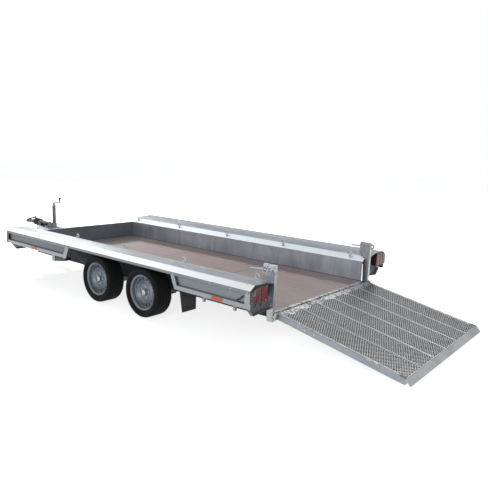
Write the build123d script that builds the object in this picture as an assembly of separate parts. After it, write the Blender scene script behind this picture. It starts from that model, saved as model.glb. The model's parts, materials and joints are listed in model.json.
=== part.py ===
from build123d import *
import math
import os

# Tandem-axle plant trailer with a low load floor, winged side walls and a rear loading ramp.
# Millimetres. X runs forward to the coupling, Y to the left, Z up from the ground.
# While the model is built, X starts at the rear edge of the load floor.

# Load floor and side walls. Sizes called OUT lie outboard of the load floor's edge.
DECK_LENGTH = 4090
DECK_WIDTH = 1650
DECK_TOP = 283
FLOOR_THICK = 15
SHEET = 3
WALL_FOOT = 212
WALL_TOP = 504
RIDGE_OUT, RIDGE_Z = 70, 561
CREASE_OUT, CREASE_Z = 205, 590
WING_EDGE_OUT, WING_EDGE_Z = 372, 593
LIP_OUT, LIP_Z = 431, 552
LIP_FOOT = 526
WING_OVERHANG = 58
CAP_THICK = 3
FRONT_FOLD = 32
FRONT_FOLD_DROP = 24

# Skirts below the wings: a pressed panel with a recess and a sill
SKIRT_LAP = 5
SKIRT_BREAK = 524
RECESS_TOP = 512
RECESS_FOOT = 440
SILL_TOP = 432
SILL_FOOT = 392
SILL_INSET = 6
RECESS_DEPTH = 22
SILL_RETURN = 28
REAR_SKIRT_SLANT_BORDER, REAR_SKIRT_END_BORDER = 50, 63
FRONT_SKIRT_SLANT_BORDER, FRONT_SKIRT_END_BORDER = 68, 26
ARCH_REAR_TOP, ARCH_REAR_FOOT = 914, 858
ARCH_FRONT_TOP, ARCH_FRONT_FOOT = 2634, 2697

# Chassis
BEAM_INSET = 125
BEAM_WIDTH = 50
BEAM_HEIGHT = 90
BEAM_WALL = 5
CROSS_HEIGHT = 50
CROSS_WIDTH = 40
CROSS_END, CROSS_COUNT = 330, 7
SILL_DEPTH = 30
SILL_HEIGHT = 80

# Upright plates that carry the wings
WEB_THICK = 5
WEB_FLANGE = 36
WEB_TOP_GAP = 2
ARCH_WEB_FRONT = 2742
ARCH_WEB_FOOT = 218
ARCH_WEB_FOOT_OUT, ARCH_WEB_TOP_OUT = 117, 347
ARCH_WEB_BREAK = 512
FLAP_WEB_FOOT = 386
FRONT_WEB_SETBACK = 24
FRONT_WEB_FOOT = 298
FRONT_WEB_FOOT_OUT = 330
REAR_WEB_X = 16
REAR_WEB_FOOT, REAR_WEB_LOW = 322, 308
REAR_WEB_STEP_OUT, REAR_WEB_LOW_OUT = 185, 325
FRONT_TIE_WIDTH = 40

# Rear posts, with their latches
POST_OUT = 58
POST_WIDTH = 36
POST_FOOT = 208
POST_TOP = 720
POST_REAR_FOOT, POST_REAR_TOP = -47, -54
POST_FRONT_FOOT, POST_FRONT_TOP = 14, 26
HEAD_FOOT = 573
HEAD_FRONT = 74
HEAD_SLOPE = 6
POST_CLEARANCE = 4
BOLT_HOLE_RADIUS = 10
BOLT_HEIGHT = 622
LATCH_HEIGHT = 672
LATCH_BAR_RADIUS = 9
LATCH_BAR_OFFSET = 16
LATCH_PLATE_REAR, LATCH_PLATE_FRONT = -44, 66
LATCH_PLATE_THICK, LATCH_PLATE_HEIGHT = 6, 56
LATCH_CHEEK, LATCH_CHEEK_HEIGHT = 12, 34
HANDLE_REACH, HANDLE_DROP = 202, 10
EYE_X = -49
EYE_RADIUS, EYE_BORE, EYE_THICK = 30, 13, 13

# Tail lamps and side reflectors
LAMP_INNER_OUT, LAMP_OUTER_OUT = 202, 432
LAMP_FOOT = 441
LAMP_DEPTH = 50
LAMP_RIM_THICK = 6
LAMP_BODY_GAP = 14
LENS_THICK = 8
LENS_RIM = 12
LENS_EDGE = 2
REFLECTOR_LENGTH, REFLECTOR_HEIGHT, REFLECTOR_THICK = 126, 29, 6
REFLECTOR_REAR_END, REFLECTOR_FRONT_END = 318, 678
REFLECTOR_MID_Z = 413

# Lashing rings along the slopes of the walls
RING_REAR_END, RING_FRONT_END, RING_COUNT = 182, 90, 5
RING_OUT, RING_MID_Z = 37, 574
RING_RADIUS, RING_WIRE = 22, 6.5
RING_SHANK_RADIUS = 8

# Mudflaps behind the rear wheels
FLAP_X = 790
FLAP_INNER_OUT, FLAP_FOOT_OUT, FLAP_OUTER_OUT = 200, 378, 414
FLAP_FOOT, FLAP_TOP = 168, 470
FLAP_THICK = 8
FLAP_STRIP, FLAP_STRIP_HEIGHT = 5, 60

# Wheel chocks in holders below the front sills, and hooks below the rear ones
CHOCK_FRONT_X, CHOCK_LENGTH, CHOCK_WIDTH = 3014, 268, 84
CHOCK_TOP, CHOCK_HEIGHT, CHOCK_NOSE = 378, 57, 26
HOLDER_LENGTH, HOLDER_WALL, HOLDER_GAP = 66, 3, 0.5
STRAP_WIDTH = 24
HOOK_XS = (114, 478)
HOOK_TOP_WIDTH, HOOK_FOOT_WIDTH = 42, 26
HOOK_DROP, HOOK_THICK, HOOK_TURN = 42, 5, 14

# Wheels and axles
WHEEL_OUT = 323
AXLE_REAR_X, AXLE_FRONT_X = 1350, 2115
TYRE_RADIUS = 254
TYRE_WIDTH = 204
TYRE_SHOULDER = 24
BEAD_RADIUS, BEAD_SEAT, BEAD_WIDTH, BEAD_SINK = 172, 56, 14, 5.6
RIM_FLANGE_RADIUS = 182.5
RIM_HALF_WIDTH = 80
RIM_WALL = 4
DISC_THICK = 5
VENT_COUNT, VENT_CIRCLE, VENT_RADIUS = 16, 135, 11
CAP_RADIUS, CAP_LENGTH = 27, 38
MOUNT_OFFSET = 30
DRUM_RADIUS, DRUM_LENGTH = 100, 84
HUB_DEPTH = 22
STUB_RADIUS, STUB_END_GAP = 17.5, 4
RUNNING_FIT = 0.05
AXLE_TUBE = 70
AXLE_NOTCH = 25
ARM_TRAIL = 150
ARM_WIDTH = 35
ARM_ROOT_RADIUS, ARM_HUB_RADIUS = 40, 32
ARM_TYRE_GAP = 8
BACKPLATE_THICK = 6
BACKPLATE_GAP = 5

# Drawbar. Sizes called REACH lie forward of the load floor's front edge.
LEG_UNDER_FLOOR = 890
KINK_REACH, LEG_REACH = 70, 1330
LEVEL_LENGTH = 270
LEG_BEAM_GAP = 100
DRAWBAR_FRONT_Y = 45
LEG_WIDTH, LEG_HEIGHT = 50, 70
LEG_FRONT_Z = 330

# Overrun housing, bellows and coupling head
HOUSING_NOSE, HOUSING_LENGTH = 60, 290
TOP_PLATE_THICK = 8
SHAFT_Z = 405
HOUSING_RADIUS, FLANGE_LENGTH, FLANGE_STEP = 37, 34, 8
SADDLE_THICK = 12
SHAFT_RADIUS = 25
SHAFT_GAP = 0.5
BELLOWS_LENGTH, BELLOWS_FOLDS = 152, 6
BELLOWS_RADIUS, BELLOWS_WAIST = 60, 44
NECK_LENGTH = 261
BALL_Z = 388
BALL_RADIUS = 25
BALL_CLEARANCE = 0.15
SOCKET_WALL = 12
SOCKET_SKIRT = 18
NECK_HALF_WIDTH = 30
HANDLE_TOP = 480
HANDLE_THICK = 12

# Lighting plug parked on the drawbar's top plate, behind the legs' front end
PLUG_SETBACK, PLUG_INSET = 63, 10
PLUG_RADIUS, PLUG_LENGTH = 19, 52
PLUG_FOOT = 22

# Gap left where a piece is bolted against a round one
SEAT_GAP = 0.3

# Jockey wheel
JOCKEY_SETBACK, JOCKEY_LEG_GAP = 101, 54.75
JOCKEY_TUBE_RADIUS, JOCKEY_TUBE_WALL = 30, 4
JOCKEY_TUBE_FOOT, JOCKEY_TUBE_TOP = 322, 706
TUBE_CAP = 6
CLAMP_WALL, CLAMP_TOP = 8, 400
JOCKEY_SLIDE_CLEARANCE = 0.5
JOCKEY_LIFT = 75
CROWN_TOP = 235
CROWN_RADIUS = 38
CROWN_THICK = 8
FORK_PLATE = 5
FORK_SIDE_GAP = 6
JOCKEY_TRAIL = 45
JOCKEY_WHEEL_RADIUS, JOCKEY_WHEEL_WIDTH = 100, 50
JOCKEY_PIN_RADIUS = 8
STEM_RADIUS, STEM_LENGTH = 12, 46
CRANK_REACH = (-128, -30)
CRANK_ELBOW, CRANK_RISE, CRANK_RADIUS = 0.42, 44, 8
GRIP_LENGTH, GRIP_RADIUS = 74, 16

# Ramp, lying on the ground
HINGE_X, HINGE_Z = -60, 262
HINGE_PIN_RADIUS = 8
KNUCKLE_RADIUS = 17
LUG_WIDTH = 16
LUG_MIDS = (-290, 290)
LUG_GAP = 2
RAMP_POST_GAP = 11
RAMP_LENGTH = 1230
RAMP_DEPTH = 50
RAMP_RISE = 20
RAMP_FOOT_CLEARANCE = 2
RAMP_RAIL_WIDTH = 34
RAMP_RAIL_WALL = 4
RAIL_HOLE_REACHES, RAIL_HOLE_RADIUS, RAIL_HOLE_DROP = (302, 398), 7, 4
RAMP_START = 24
MESH_THICK = 5
RIB_COUNT, RIB_WIDTH, RIB_DEPTH, RIB_RISE = 5, 8, 36, 3
CROSSBAR_COUNT, CROSSBAR_WIDTH, CROSSBAR_HEIGHT = 4, 30, 22
TOE_THICK = 5
TOE_FOLD = 38
PIN_REACH = 26

HALF_DECK = DECK_WIDTH / 2
WALL_OUTER_Y = HALF_DECK + SHEET
RIDGE_Y = HALF_DECK + RIDGE_OUT
WING_EDGE_Y = HALF_DECK + WING_EDGE_OUT
LIP_Y = HALF_DECK + LIP_OUT
SILL_Y = LIP_Y - SILL_INSET
SILL_INSIDE_Y = SILL_Y - SILL_RETURN
SKIRT_TOP = LIP_Z - SKIRT_LAP
WHEEL_Y = HALF_DECK + WHEEL_OUT
ARM_OUTER_Y = WHEEL_Y - TYRE_WIDTH / 2 - ARM_TYRE_GAP
BEAM_Y = HALF_DECK - BEAM_INSET
FLOOR_FOOT = DECK_TOP - FLOOR_THICK
BEAM_FOOT = FLOOR_FOOT - BEAM_HEIGHT
TUBE_Z = BEAM_FOOT + AXLE_NOTCH - AXLE_TUBE / 2
POST_INNER_Y = HALF_DECK + POST_OUT
POST_OUTER_Y = POST_INNER_Y + POST_WIDTH
DRAWBAR_REAR_X = DECK_LENGTH - LEG_UNDER_FLOOR
DRAWBAR_FRONT_X = DECK_LENGTH + LEG_REACH
DRAWBAR_REAR_Y = BEAM_Y - LEG_BEAM_GAP
LEG_REAR_Z = FLOOR_FOOT - CROSS_HEIGHT - LEG_HEIGHT / 2
LEG_TOP = LEG_FRONT_Z + LEG_HEIGHT / 2
HOUSING_FRONT_X = DRAWBAR_FRONT_X + HOUSING_NOSE
HOUSING_REAR_X = HOUSING_FRONT_X - HOUSING_LENGTH
BALL_X = HOUSING_FRONT_X + BELLOWS_LENGTH + NECK_LENGTH
JOCKEY_X = DRAWBAR_FRONT_X - JOCKEY_SETBACK
RAMP_HALF_WIDTH = POST_INNER_Y - RAMP_POST_GAP
RAMP_REACH = math.hypot(RAMP_LENGTH, RAMP_DEPTH - RAMP_RISE)
RAMP_ANGLE = math.degrees(
    math.asin((HINGE_Z - RAMP_FOOT_CLEARANCE) / RAMP_REACH)
    - math.atan2(RAMP_DEPTH - RAMP_RISE, RAMP_LENGTH)
)
RAMP_PLACE = Location((HINGE_X, 0, HINGE_Z), (0, -RAMP_ANGLE, 0))

nodes = {}


def add(name, *solids):
    """Keep the solids of one node."""
    nodes.setdefault(name, []).extend(solids)


def block(x_range, y_range, z_range):
    """A box between two values on each axis."""
    size = [high - low for low, high in (x_range, y_range, z_range)]
    mid = [(high + low) / 2 for low, high in (x_range, y_range, z_range)]
    return Pos(*mid) * Box(*size)


def along_x(outline, x_from, x_to):
    """A closed (y, z) outline made into a prism between two x values."""
    face = make_face(Polyline(*outline, close=True))
    plane = Plane(origin=(x_from, 0, 0), x_dir=(0, 1, 0), z_dir=(1, 0, 0))
    return extrude(plane * face, x_to - x_from)


def along_y(outline, y_from, y_to):
    """A closed (x, z) outline made into a prism between two y values."""
    face = make_face(Polyline(*outline, close=True))
    plane = Plane(origin=(0, y_to, 0), x_dir=(1, 0, 0), z_dir=(0, -1, 0))
    return extrude(plane * face, y_to - y_from)


def rod(start, end, radius):
    """A round bar between two points."""
    start, end = Vector(*start), Vector(*end)
    axis = end - start
    plane = Plane(origin=start, z_dir=axis.normalized())
    return extrude(plane * Circle(radius), axis.length)


def bent_strip(path, thickness):
    """The closed outline of a bent sheet that lies on the right of a path of points."""
    count = len(path)
    normals = []
    for (a0, b0), (a1, b1) in zip(path, path[1:]):
        length = math.hypot(a1 - a0, b1 - b0)
        normals.append(((b1 - b0) / length, -(a1 - a0) / length))
    inner = []
    for i in range(count):
        before, after = normals[max(i - 1, 0)], normals[min(i, count - 2)]
        mid = (before[0] + after[0], before[1] + after[1])
        scale = thickness * 2 / (mid[0] ** 2 + mid[1] ** 2)
        inner.append((path[i][0] + mid[0] * scale, path[i][1] + mid[1] * scale))
    return list(path) + inner[::-1]


def mirrored(solid):
    """The same piece on the right-hand side."""
    return mirror(solid, about=Plane.XZ)


def add_both(name, *solids):
    """A piece of the left-hand side and its mirror image, as two nodes."""
    add(name + "_left", *solids)
    add(name + "_right", *[mirrored(solid) for solid in solids])


def add_pair(name, *solids):
    """A piece of the left-hand side and its mirror image, in one node."""
    add(name, *solids)
    add(name, *[mirrored(solid) for solid in solids])


def spun(outline, place):
    """A closed (radius, height) outline turned about the local Z axis and put in its place."""
    face = make_face(Polyline(*outline, close=True))
    plane = Plane(origin=(0, 0, 0), x_dir=(1, 0, 0), z_dir=(0, -1, 0))
    return place * revolve(plane * face, Axis.Z)


def wing_top(y):
    """Height of the bent sheet's upper side at a distance from the centre line."""
    points = WING_PATH[1:-1]
    for (y_in, z_in), (y_out, z_out) in zip(points, points[1:]):
        if y <= y_out:
            return z_in + (y - y_in) / (y_out - y_in) * (z_out - z_in)
    return points[-1][1]


def under_wing(y):
    """Height of a plate's edge just below the bent sheet."""
    return wing_top(y) - 1.5 * SHEET - WEB_TOP_GAP


def load_floor():
    add("deck_floor", block((0, DECK_LENGTH), (-HALF_DECK, HALF_DECK), (FLOOR_FOOT, DECK_TOP)))


WING_PATH = [
    (HALF_DECK, WALL_FOOT),
    (HALF_DECK, WALL_TOP),
    (RIDGE_Y, RIDGE_Z),
    (HALF_DECK + CREASE_OUT, CREASE_Z),
    (WING_EDGE_Y, WING_EDGE_Z),
    (LIP_Y, LIP_Z),
    (LIP_Y, LIP_FOOT),
]


def side_walls():
    """Wall, slope, creased wing top, chamfer and lip, bent from one sheet."""
    sheet = along_x(bent_strip(WING_PATH, SHEET), -WING_OVERHANG, DECK_LENGTH)
    post_front = POST_FRONT_TOP + POST_CLEARANCE
    notch_inner = POST_INNER_Y - 3 * POST_CLEARANCE
    notch_outer = POST_OUTER_Y + POST_CLEARANCE
    full_height = (0, 2 * WALL_TOP)
    sheet -= block((-2 * WING_OVERHANG, post_front), (notch_inner, notch_outer), full_height)
    sheet -= block((-2 * WING_OVERHANG, 0), (0, notch_inner), full_height)
    add_both("side_profile", sheet)
    cap = WING_PATH[1:] + [(LIP_Y, SILL_FOOT), (HALF_DECK, SILL_FOOT)]
    add_pair("front_wall", along_x(cap, DECK_LENGTH, DECK_LENGTH + CAP_THICK))


def front_wall():
    path = [
        (DECK_LENGTH, FLOOR_FOOT),
        (DECK_LENGTH, WALL_TOP),
        (DECK_LENGTH + FRONT_FOLD, WALL_TOP),
        (DECK_LENGTH + FRONT_FOLD, WALL_TOP - FRONT_FOLD_DROP),
    ]
    add("front_wall", along_y(bent_strip(path, SHEET), -HALF_DECK, HALF_DECK))


def skirt(plain_x, slant_top_x, slant_foot_x, plain_border_width, slant_border_width):
    """A pressed panel with one upright end and one slanting end at the wheel arch."""
    recess_y = SILL_Y - RECESS_DEPTH
    path = [
        (LIP_Y - SHEET, SKIRT_TOP),
        (LIP_Y - SHEET, SKIRT_BREAK),
        (recess_y, RECESS_TOP),
        (recess_y, RECESS_FOOT),
        (SILL_Y, SILL_TOP),
        (SILL_Y, SILL_FOOT),
        (SILL_INSIDE_Y, SILL_FOOT),
    ]
    low, high = sorted((plain_x, slant_top_x))
    reach = abs(slant_foot_x - slant_top_x)
    section = along_x(bent_strip(path, SHEET), low - reach, high + reach)
    slope = (slant_top_x - slant_foot_x) / (SKIRT_BREAK - SILL_FOOT)
    top_x = slant_top_x + slope * (SKIRT_TOP - SKIRT_BREAK)
    outline = [
        (plain_x, SILL_FOOT),
        (plain_x, SKIRT_TOP),
        (top_x, SKIRT_TOP),
        (slant_foot_x, SILL_FOOT),
    ]
    inside = 1 if plain_x > slant_top_x else -1
    slant_border = [
        (slant_foot_x, SILL_FOOT),
        (slant_top_x, SKIRT_BREAK),
        (slant_top_x + inside * slant_border_width, SKIRT_BREAK),
        (slant_foot_x + inside * slant_border_width, SILL_FOOT),
    ]
    plain_border = [
        (plain_x, SILL_FOOT),
        (plain_x, SKIRT_BREAK),
        (plain_x - inside * plain_border_width, SKIRT_BREAK),
        (plain_x - inside * plain_border_width, SILL_FOOT),
    ]
    panel = section & along_y(outline, 0, 2 * SILL_Y)
    for border in (slant_border, plain_border):
        panel += along_y(border, SILL_Y - SHEET, SILL_Y)
    return panel


def skirts():
    front_borders = (FRONT_SKIRT_END_BORDER, FRONT_SKIRT_SLANT_BORDER)
    rear_borders = (REAR_SKIRT_END_BORDER, REAR_SKIRT_SLANT_BORDER)
    front = skirt(DECK_LENGTH - SHEET, ARCH_FRONT_TOP, ARCH_FRONT_FOOT, *front_borders)
    add_both("skirt_front", front)
    add_both("skirt_rear", skirt(-WING_OVERHANG, ARCH_REAR_TOP, ARCH_REAR_FOOT, *rear_borders))


def chassis():
    """Two long channels with notches for the axles, and the cross members between them."""
    inner, outer = BEAM_Y - BEAM_WIDTH / 2, BEAM_Y + BEAM_WIDTH / 2
    path = [
        (inner, BEAM_FOOT),
        (outer, BEAM_FOOT),
        (outer, FLOOR_FOOT),
        (inner, FLOOR_FOOT),
    ]
    left_hand = [(y, z) for y, z in reversed(path)]
    beam = along_x(bent_strip(left_hand, BEAM_WALL), 0, DECK_LENGTH)
    for axle_x in (AXLE_REAR_X, AXLE_FRONT_X):
        mid = axle_x + ARM_TRAIL
        beam -= block(
            (mid - AXLE_TUBE / 2, mid + AXLE_TUBE / 2),
            (inner, outer),
            (BEAM_FOOT, BEAM_FOOT + AXLE_NOTCH),
        )
    add_both("chassis_beam", beam)
    pitch = (DECK_LENGTH - 2 * CROSS_END) / (CROSS_COUNT - 1)
    for i in range(CROSS_COUNT):
        mid = CROSS_END + i * pitch
        x_range = (mid - CROSS_WIDTH / 2, mid + CROSS_WIDTH / 2)
        z_range = (FLOOR_FOOT - CROSS_HEIGHT, FLOOR_FOOT)
        add("cross_members", block(x_range, (-inner, inner), z_range))
        add_pair("cross_members", block(x_range, (outer, HALF_DECK), z_range))


def web(outline, x_front, flanged=0):
    """An upright plate under the wing, with a flange along the first edges of its outline."""
    plate = along_x(outline, x_front - WEB_THICK, x_front)
    if flanged:
        flange = bent_strip(outline[: flanged + 1][::-1], WEB_THICK)
        plate += along_x(flange, x_front - WEB_FLANGE, x_front)
    return plate


def web_top(y_outer, y_inner):
    """The upper edge of a web, from its outer end to the wall, just below the bent sheet."""
    crease = HALF_DECK + CREASE_OUT
    corners = [y_outer, crease, RIDGE_Y + SHEET, y_inner]
    return [(y, under_wing(y)) for y in corners if y_inner <= y <= y_outer]


def transoms():
    """Plates that carry the wings at the front, at the rear and beside the wheels."""
    arch_foot = HALF_DECK + ARCH_WEB_FOOT_OUT
    arch_outer = HALF_DECK + ARCH_WEB_TOP_OUT
    arch = [(WALL_OUTER_Y, ARCH_WEB_FOOT), (arch_foot, ARCH_WEB_FOOT), (arch_outer, ARCH_WEB_BREAK)]
    arch += web_top(arch_outer, WALL_OUTER_Y + SHEET)
    add_pair("wing_webs", web(arch, ARCH_WEB_FRONT))

    inside = SILL_INSIDE_Y - WEB_TOP_GAP
    flap_front = FLAP_X + FLAP_THICK
    carrier = [(WALL_OUTER_Y, FLAP_WEB_FOOT), (inside, FLAP_WEB_FOOT), (inside, RECESS_TOP)]
    carrier += web_top(arch_outer, WALL_OUTER_Y + SHEET)
    strip_y = (HALF_DECK + FLAP_INNER_OUT, inside)
    strip_z = (FLAP_TOP - FLAP_STRIP_HEIGHT, FLAP_TOP)
    strip = block((flap_front, flap_front + FLAP_STRIP), strip_y, strip_z)
    add_pair("wing_webs", web(carrier, flap_front + FLAP_STRIP + WEB_THICK) + strip)

    front = [
        (WALL_OUTER_Y, FRONT_WEB_FOOT),
        (HALF_DECK + FRONT_WEB_FOOT_OUT, FRONT_WEB_FOOT),
        (inside, SILL_FOOT - WEB_THICK),
        (inside, SILL_TOP),
        (WALL_OUTER_Y, SILL_TOP),
    ]
    front_x = DECK_LENGTH - FRONT_WEB_SETBACK
    add_pair("front_transom", web(front, front_x, 2))
    z_range = (FLOOR_FOOT - CROSS_HEIGHT, FLOOR_FOOT)
    inner = BEAM_Y - BEAM_WIDTH / 2
    add("front_transom", block((front_x - FRONT_TIE_WIDTH, front_x), (-inner, inner), z_range))

    rear = [
        (POST_OUTER_Y, REAR_WEB_FOOT),
        (HALF_DECK + REAR_WEB_STEP_OUT, REAR_WEB_FOOT),
        (HALF_DECK + REAR_WEB_LOW_OUT, REAR_WEB_LOW),
        (inside, SILL_FOOT - WEB_THICK),
        (inside, LAMP_FOOT),
        (POST_OUTER_Y, LAMP_FOOT),
    ]
    add_pair("wing_webs", web(rear, REAR_WEB_X, 3))
    sill_z = (DECK_TOP - SILL_HEIGHT, DECK_TOP)
    add("rear_sill", block((-SILL_DEPTH, 0), (-POST_INNER_Y, POST_INNER_Y), sill_z))


def rear_posts():
    """Tapered posts with a wide head, a bolt hole and the ramp's latch."""
    outline = [
        (POST_REAR_FOOT, POST_FOOT),
        (POST_FRONT_FOOT, POST_FOOT),
        (POST_FRONT_TOP, HEAD_FOOT),
        (HEAD_FRONT, HEAD_FOOT),
        (HEAD_FRONT, POST_TOP - HEAD_SLOPE),
        (POST_REAR_TOP, POST_TOP),
    ]
    post = along_y(outline, POST_INNER_Y, POST_OUTER_Y)
    hole_end = POST_INNER_Y + POST_WIDTH / 2
    post -= rod((0, POST_INNER_Y - 1, BOLT_HEIGHT), (0, hole_end, BOLT_HEIGHT), BOLT_HOLE_RADIUS)
    add_both("rear_post", post)
    add_pair("ramp_latches", latch())


def latch():
    """A sliding bar in two cheeks on a plate, with a pull handle and a round eye at its end."""
    face, z = POST_OUTER_Y, LATCH_HEIGHT
    bar_y = face + LATCH_BAR_OFFSET
    plate_x = (LATCH_PLATE_REAR, LATCH_PLATE_FRONT)
    plate_z = (z - LATCH_PLATE_HEIGHT / 2, z + LATCH_PLATE_HEIGHT / 2)
    piece = block(plate_x, (face, face + LATCH_PLATE_THICK), plate_z)
    cheek_y = (face, bar_y + LATCH_CHEEK)
    cheek_z = (z - LATCH_CHEEK_HEIGHT / 2, z + LATCH_CHEEK_HEIGHT / 2)
    for x in (0, LATCH_PLATE_FRONT - LATCH_CHEEK):
        piece += block((x, x + LATCH_CHEEK), cheek_y, cheek_z)
    bar_end = (LATCH_PLATE_FRONT, bar_y, z)
    piece += rod((EYE_X + EYE_RADIUS - 4, bar_y, z), bar_end, LATCH_BAR_RADIUS)
    piece += rod(bar_end, (HANDLE_REACH, bar_y, z - HANDLE_DROP), LATCH_BAR_RADIUS)
    eye_y = (bar_y - EYE_THICK / 2, bar_y + EYE_THICK / 2)
    eye = rod((EYE_X, eye_y[0], z), (EYE_X, eye_y[1], z), EYE_RADIUS)
    eye -= rod((EYE_X, eye_y[0] - 1, z), (EYE_X, eye_y[1] + 1, z), EYE_BORE)
    return piece + eye


def tail_lamps():
    inner, outer = HALF_DECK + LAMP_INNER_OUT, HALF_DECK + LAMP_OUTER_OUT
    top_inner, top_outer = wing_top(inner), WING_EDGE_Z
    housing = [
        (inner, LAMP_FOOT),
        (outer, LAMP_FOOT),
        (outer, LIP_Z),
        (WING_EDGE_Y, top_outer),
        (inner, top_inner),
    ]
    lens = [
        (inner + LENS_RIM, LAMP_FOOT),
        (outer - LENS_EDGE, LAMP_FOOT),
        (outer - LENS_EDGE, LIP_Z - LENS_RIM / 2),
        (WING_EDGE_Y, top_outer - LENS_RIM),
        (inner + LENS_RIM, top_inner - LENS_RIM),
    ]
    body_outer = SILL_Y - RECESS_DEPTH - SHEET - WEB_TOP_GAP
    body = [
        (inner, LAMP_FOOT),
        (body_outer, LAMP_FOOT),
        (body_outer, LIP_Z - LAMP_BODY_GAP),
        (WING_EDGE_Y - LAMP_BODY_GAP, top_outer - LAMP_BODY_GAP),
        (inner, top_inner - LAMP_BODY_GAP),
    ]
    rear = -WING_OVERHANG - LAMP_RIM_THICK
    shell = along_x(housing, rear, -WING_OVERHANG)
    shell += along_x(body, -WING_OVERHANG, -WING_OVERHANG + LAMP_DEPTH)
    add_pair("lamp_housings", shell)
    add_pair("lamp_lenses", along_x(lens, rear - LENS_THICK, rear))


def reflectors():
    for mid in (REFLECTOR_REAR_END, DECK_LENGTH - REFLECTOR_FRONT_END):
        x_range = (mid - REFLECTOR_LENGTH / 2, mid + REFLECTOR_LENGTH / 2)
        z_range = (REFLECTOR_MID_Z - REFLECTOR_HEIGHT / 2, REFLECTOR_MID_Z + REFLECTOR_HEIGHT / 2)
        add_pair("side_reflectors", block(x_range, (SILL_Y, SILL_Y + REFLECTOR_THICK), z_range))


def lashing_rings():
    """Eye bolts in the slopes of the walls."""
    y = HALF_DECK + RING_OUT
    pitch = (DECK_LENGTH - RING_REAR_END - RING_FRONT_END) / (RING_COUNT - 1)
    for i in range(RING_COUNT):
        x = RING_REAR_END + i * pitch
        ring = Location((x, y, RING_MID_Z), (90, 0, 0)) * Torus(RING_RADIUS, RING_WIRE)
        shank = rod((x, y, WALL_TOP), (x, y, RING_MID_Z - RING_RADIUS), RING_SHANK_RADIUS)
        below_slope = [
            (HALF_DECK, WALL_TOP + SEAT_GAP),
            (RIDGE_Y, RIDGE_Z + SEAT_GAP),
            (RIDGE_Y, 0),
            (HALF_DECK, 0),
        ]
        shank -= along_x(below_slope, x - 2 * RING_RADIUS, x + 2 * RING_RADIUS)
        add_pair("lashing_rings", shank + ring)


def mudflaps():
    """Rubber sheets that narrow at the foot and stand clear of the skirt's return."""
    inside = SILL_INSIDE_Y - WEB_TOP_GAP
    outline = [
        (HALF_DECK + FLAP_INNER_OUT, FLAP_FOOT),
        (HALF_DECK + FLAP_FOOT_OUT, FLAP_FOOT),
        (HALF_DECK + FLAP_OUTER_OUT, SILL_FOOT - WEB_THICK),
        (inside, SILL_FOOT - WEB_THICK),
        (inside, FLAP_TOP),
        (HALF_DECK + FLAP_INNER_OUT, FLAP_TOP),
    ]
    add_pair("mudflaps", along_x(outline, FLAP_X, FLAP_X + FLAP_THICK))


def wheel_chocks():
    """Wedges whose thick ends sit in open steel holders below the front sills."""
    rear, foot = CHOCK_FRONT_X - CHOCK_LENGTH, CHOCK_TOP - CHOCK_HEIGHT
    outline = [
        (rear, CHOCK_TOP),
        (rear, CHOCK_TOP - CHOCK_NOSE),
        (CHOCK_FRONT_X - HOLDER_LENGTH, foot),
        (CHOCK_FRONT_X, foot),
        (CHOCK_FRONT_X, CHOCK_TOP),
    ]
    gap = HOLDER_GAP + HOLDER_WALL
    outer_y = SILL_Y - SILL_RETURN / 2
    y_range = (outer_y - gap - CHOCK_WIDTH, outer_y - gap)
    add_pair("wheel_chocks", along_y(outline, *y_range))
    hollow_y = (y_range[0] - HOLDER_GAP, y_range[1] + HOLDER_GAP)
    hollow_z = (foot - HOLDER_GAP, CHOCK_TOP + HOLDER_GAP)
    front = CHOCK_FRONT_X + gap
    holder = block(
        (front - HOLDER_LENGTH, front),
        (hollow_y[0] - HOLDER_WALL, hollow_y[1] + HOLDER_WALL),
        (hollow_z[0] - HOLDER_WALL, hollow_z[1] + HOLDER_WALL),
    )
    hanger_z = (CHOCK_TOP + gap, SILL_FOOT)
    holder += block((front - HOLDER_LENGTH, front), (SILL_INSIDE_Y, outer_y), hanger_z)
    holder -= block((front - HOLDER_LENGTH - 1, front - HOLDER_WALL), hollow_y, hollow_z)
    add_pair("sill_hooks", holder)
    strap_z = (CHOCK_TOP, SILL_FOOT)
    add_pair("sill_hooks", block((rear, rear + STRAP_WIDTH), (SILL_INSIDE_Y, y_range[1]), strap_z))


def sill_hooks():
    """Tapered rope hooks below the rear sills."""
    for x in HOOK_XS:
        y = SILL_Y - SILL_RETURN / 2
        half_top, half_foot = HOOK_TOP_WIDTH / 2, HOOK_FOOT_WIDTH / 2
        foot = SILL_FOOT - HOOK_DROP
        outline = [
            (x - half_top, SILL_FOOT),
            (x + half_top, SILL_FOOT),
            (x + half_foot, foot),
            (x - half_foot, foot),
        ]
        hook = along_y(outline, y - HOOK_THICK / 2, y + HOOK_THICK / 2)
        turn_x = (x - half_foot, x + half_foot)
        hook += block(turn_x, (y, y + HOOK_TURN), (foot, foot + HOOK_THICK))
        hook += block(turn_x, (y + HOOK_TURN - HOOK_THICK, y + HOOK_TURN), (foot, foot + 2 * HOOK_TURN))
        add_pair("sill_hooks", hook)


def tyre_half_section():
    """The tyre's half section, as (radius, distance from its middle)."""
    half, crown, shoulder = TYRE_WIDTH / 2, TYRE_RADIUS, TYRE_SHOULDER
    bead_end = BEAD_SEAT + BEAD_WIDTH
    return [
        (BEAD_RADIUS, 0),
        (BEAD_RADIUS, BEAD_SEAT),
        (BEAD_RADIUS - BEAD_SINK, BEAD_SEAT + 4),
        (BEAD_RADIUS - BEAD_SINK, bead_end),
        (RIM_FLANGE_RADIUS + 8, half - 18),
        (crown - 48, half - 2),
        (crown - 28, half),
        (crown - 11, half - 3),
        (crown - 2, half - shoulder / 2),
        (crown, half - shoulder),
        (crown, 0),
    ]


def full_section(half_section):
    """Both halves of a section that is the same each side of its middle."""
    return half_section + [(r, -s) for r, s in reversed(half_section) if s != 0]


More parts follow.
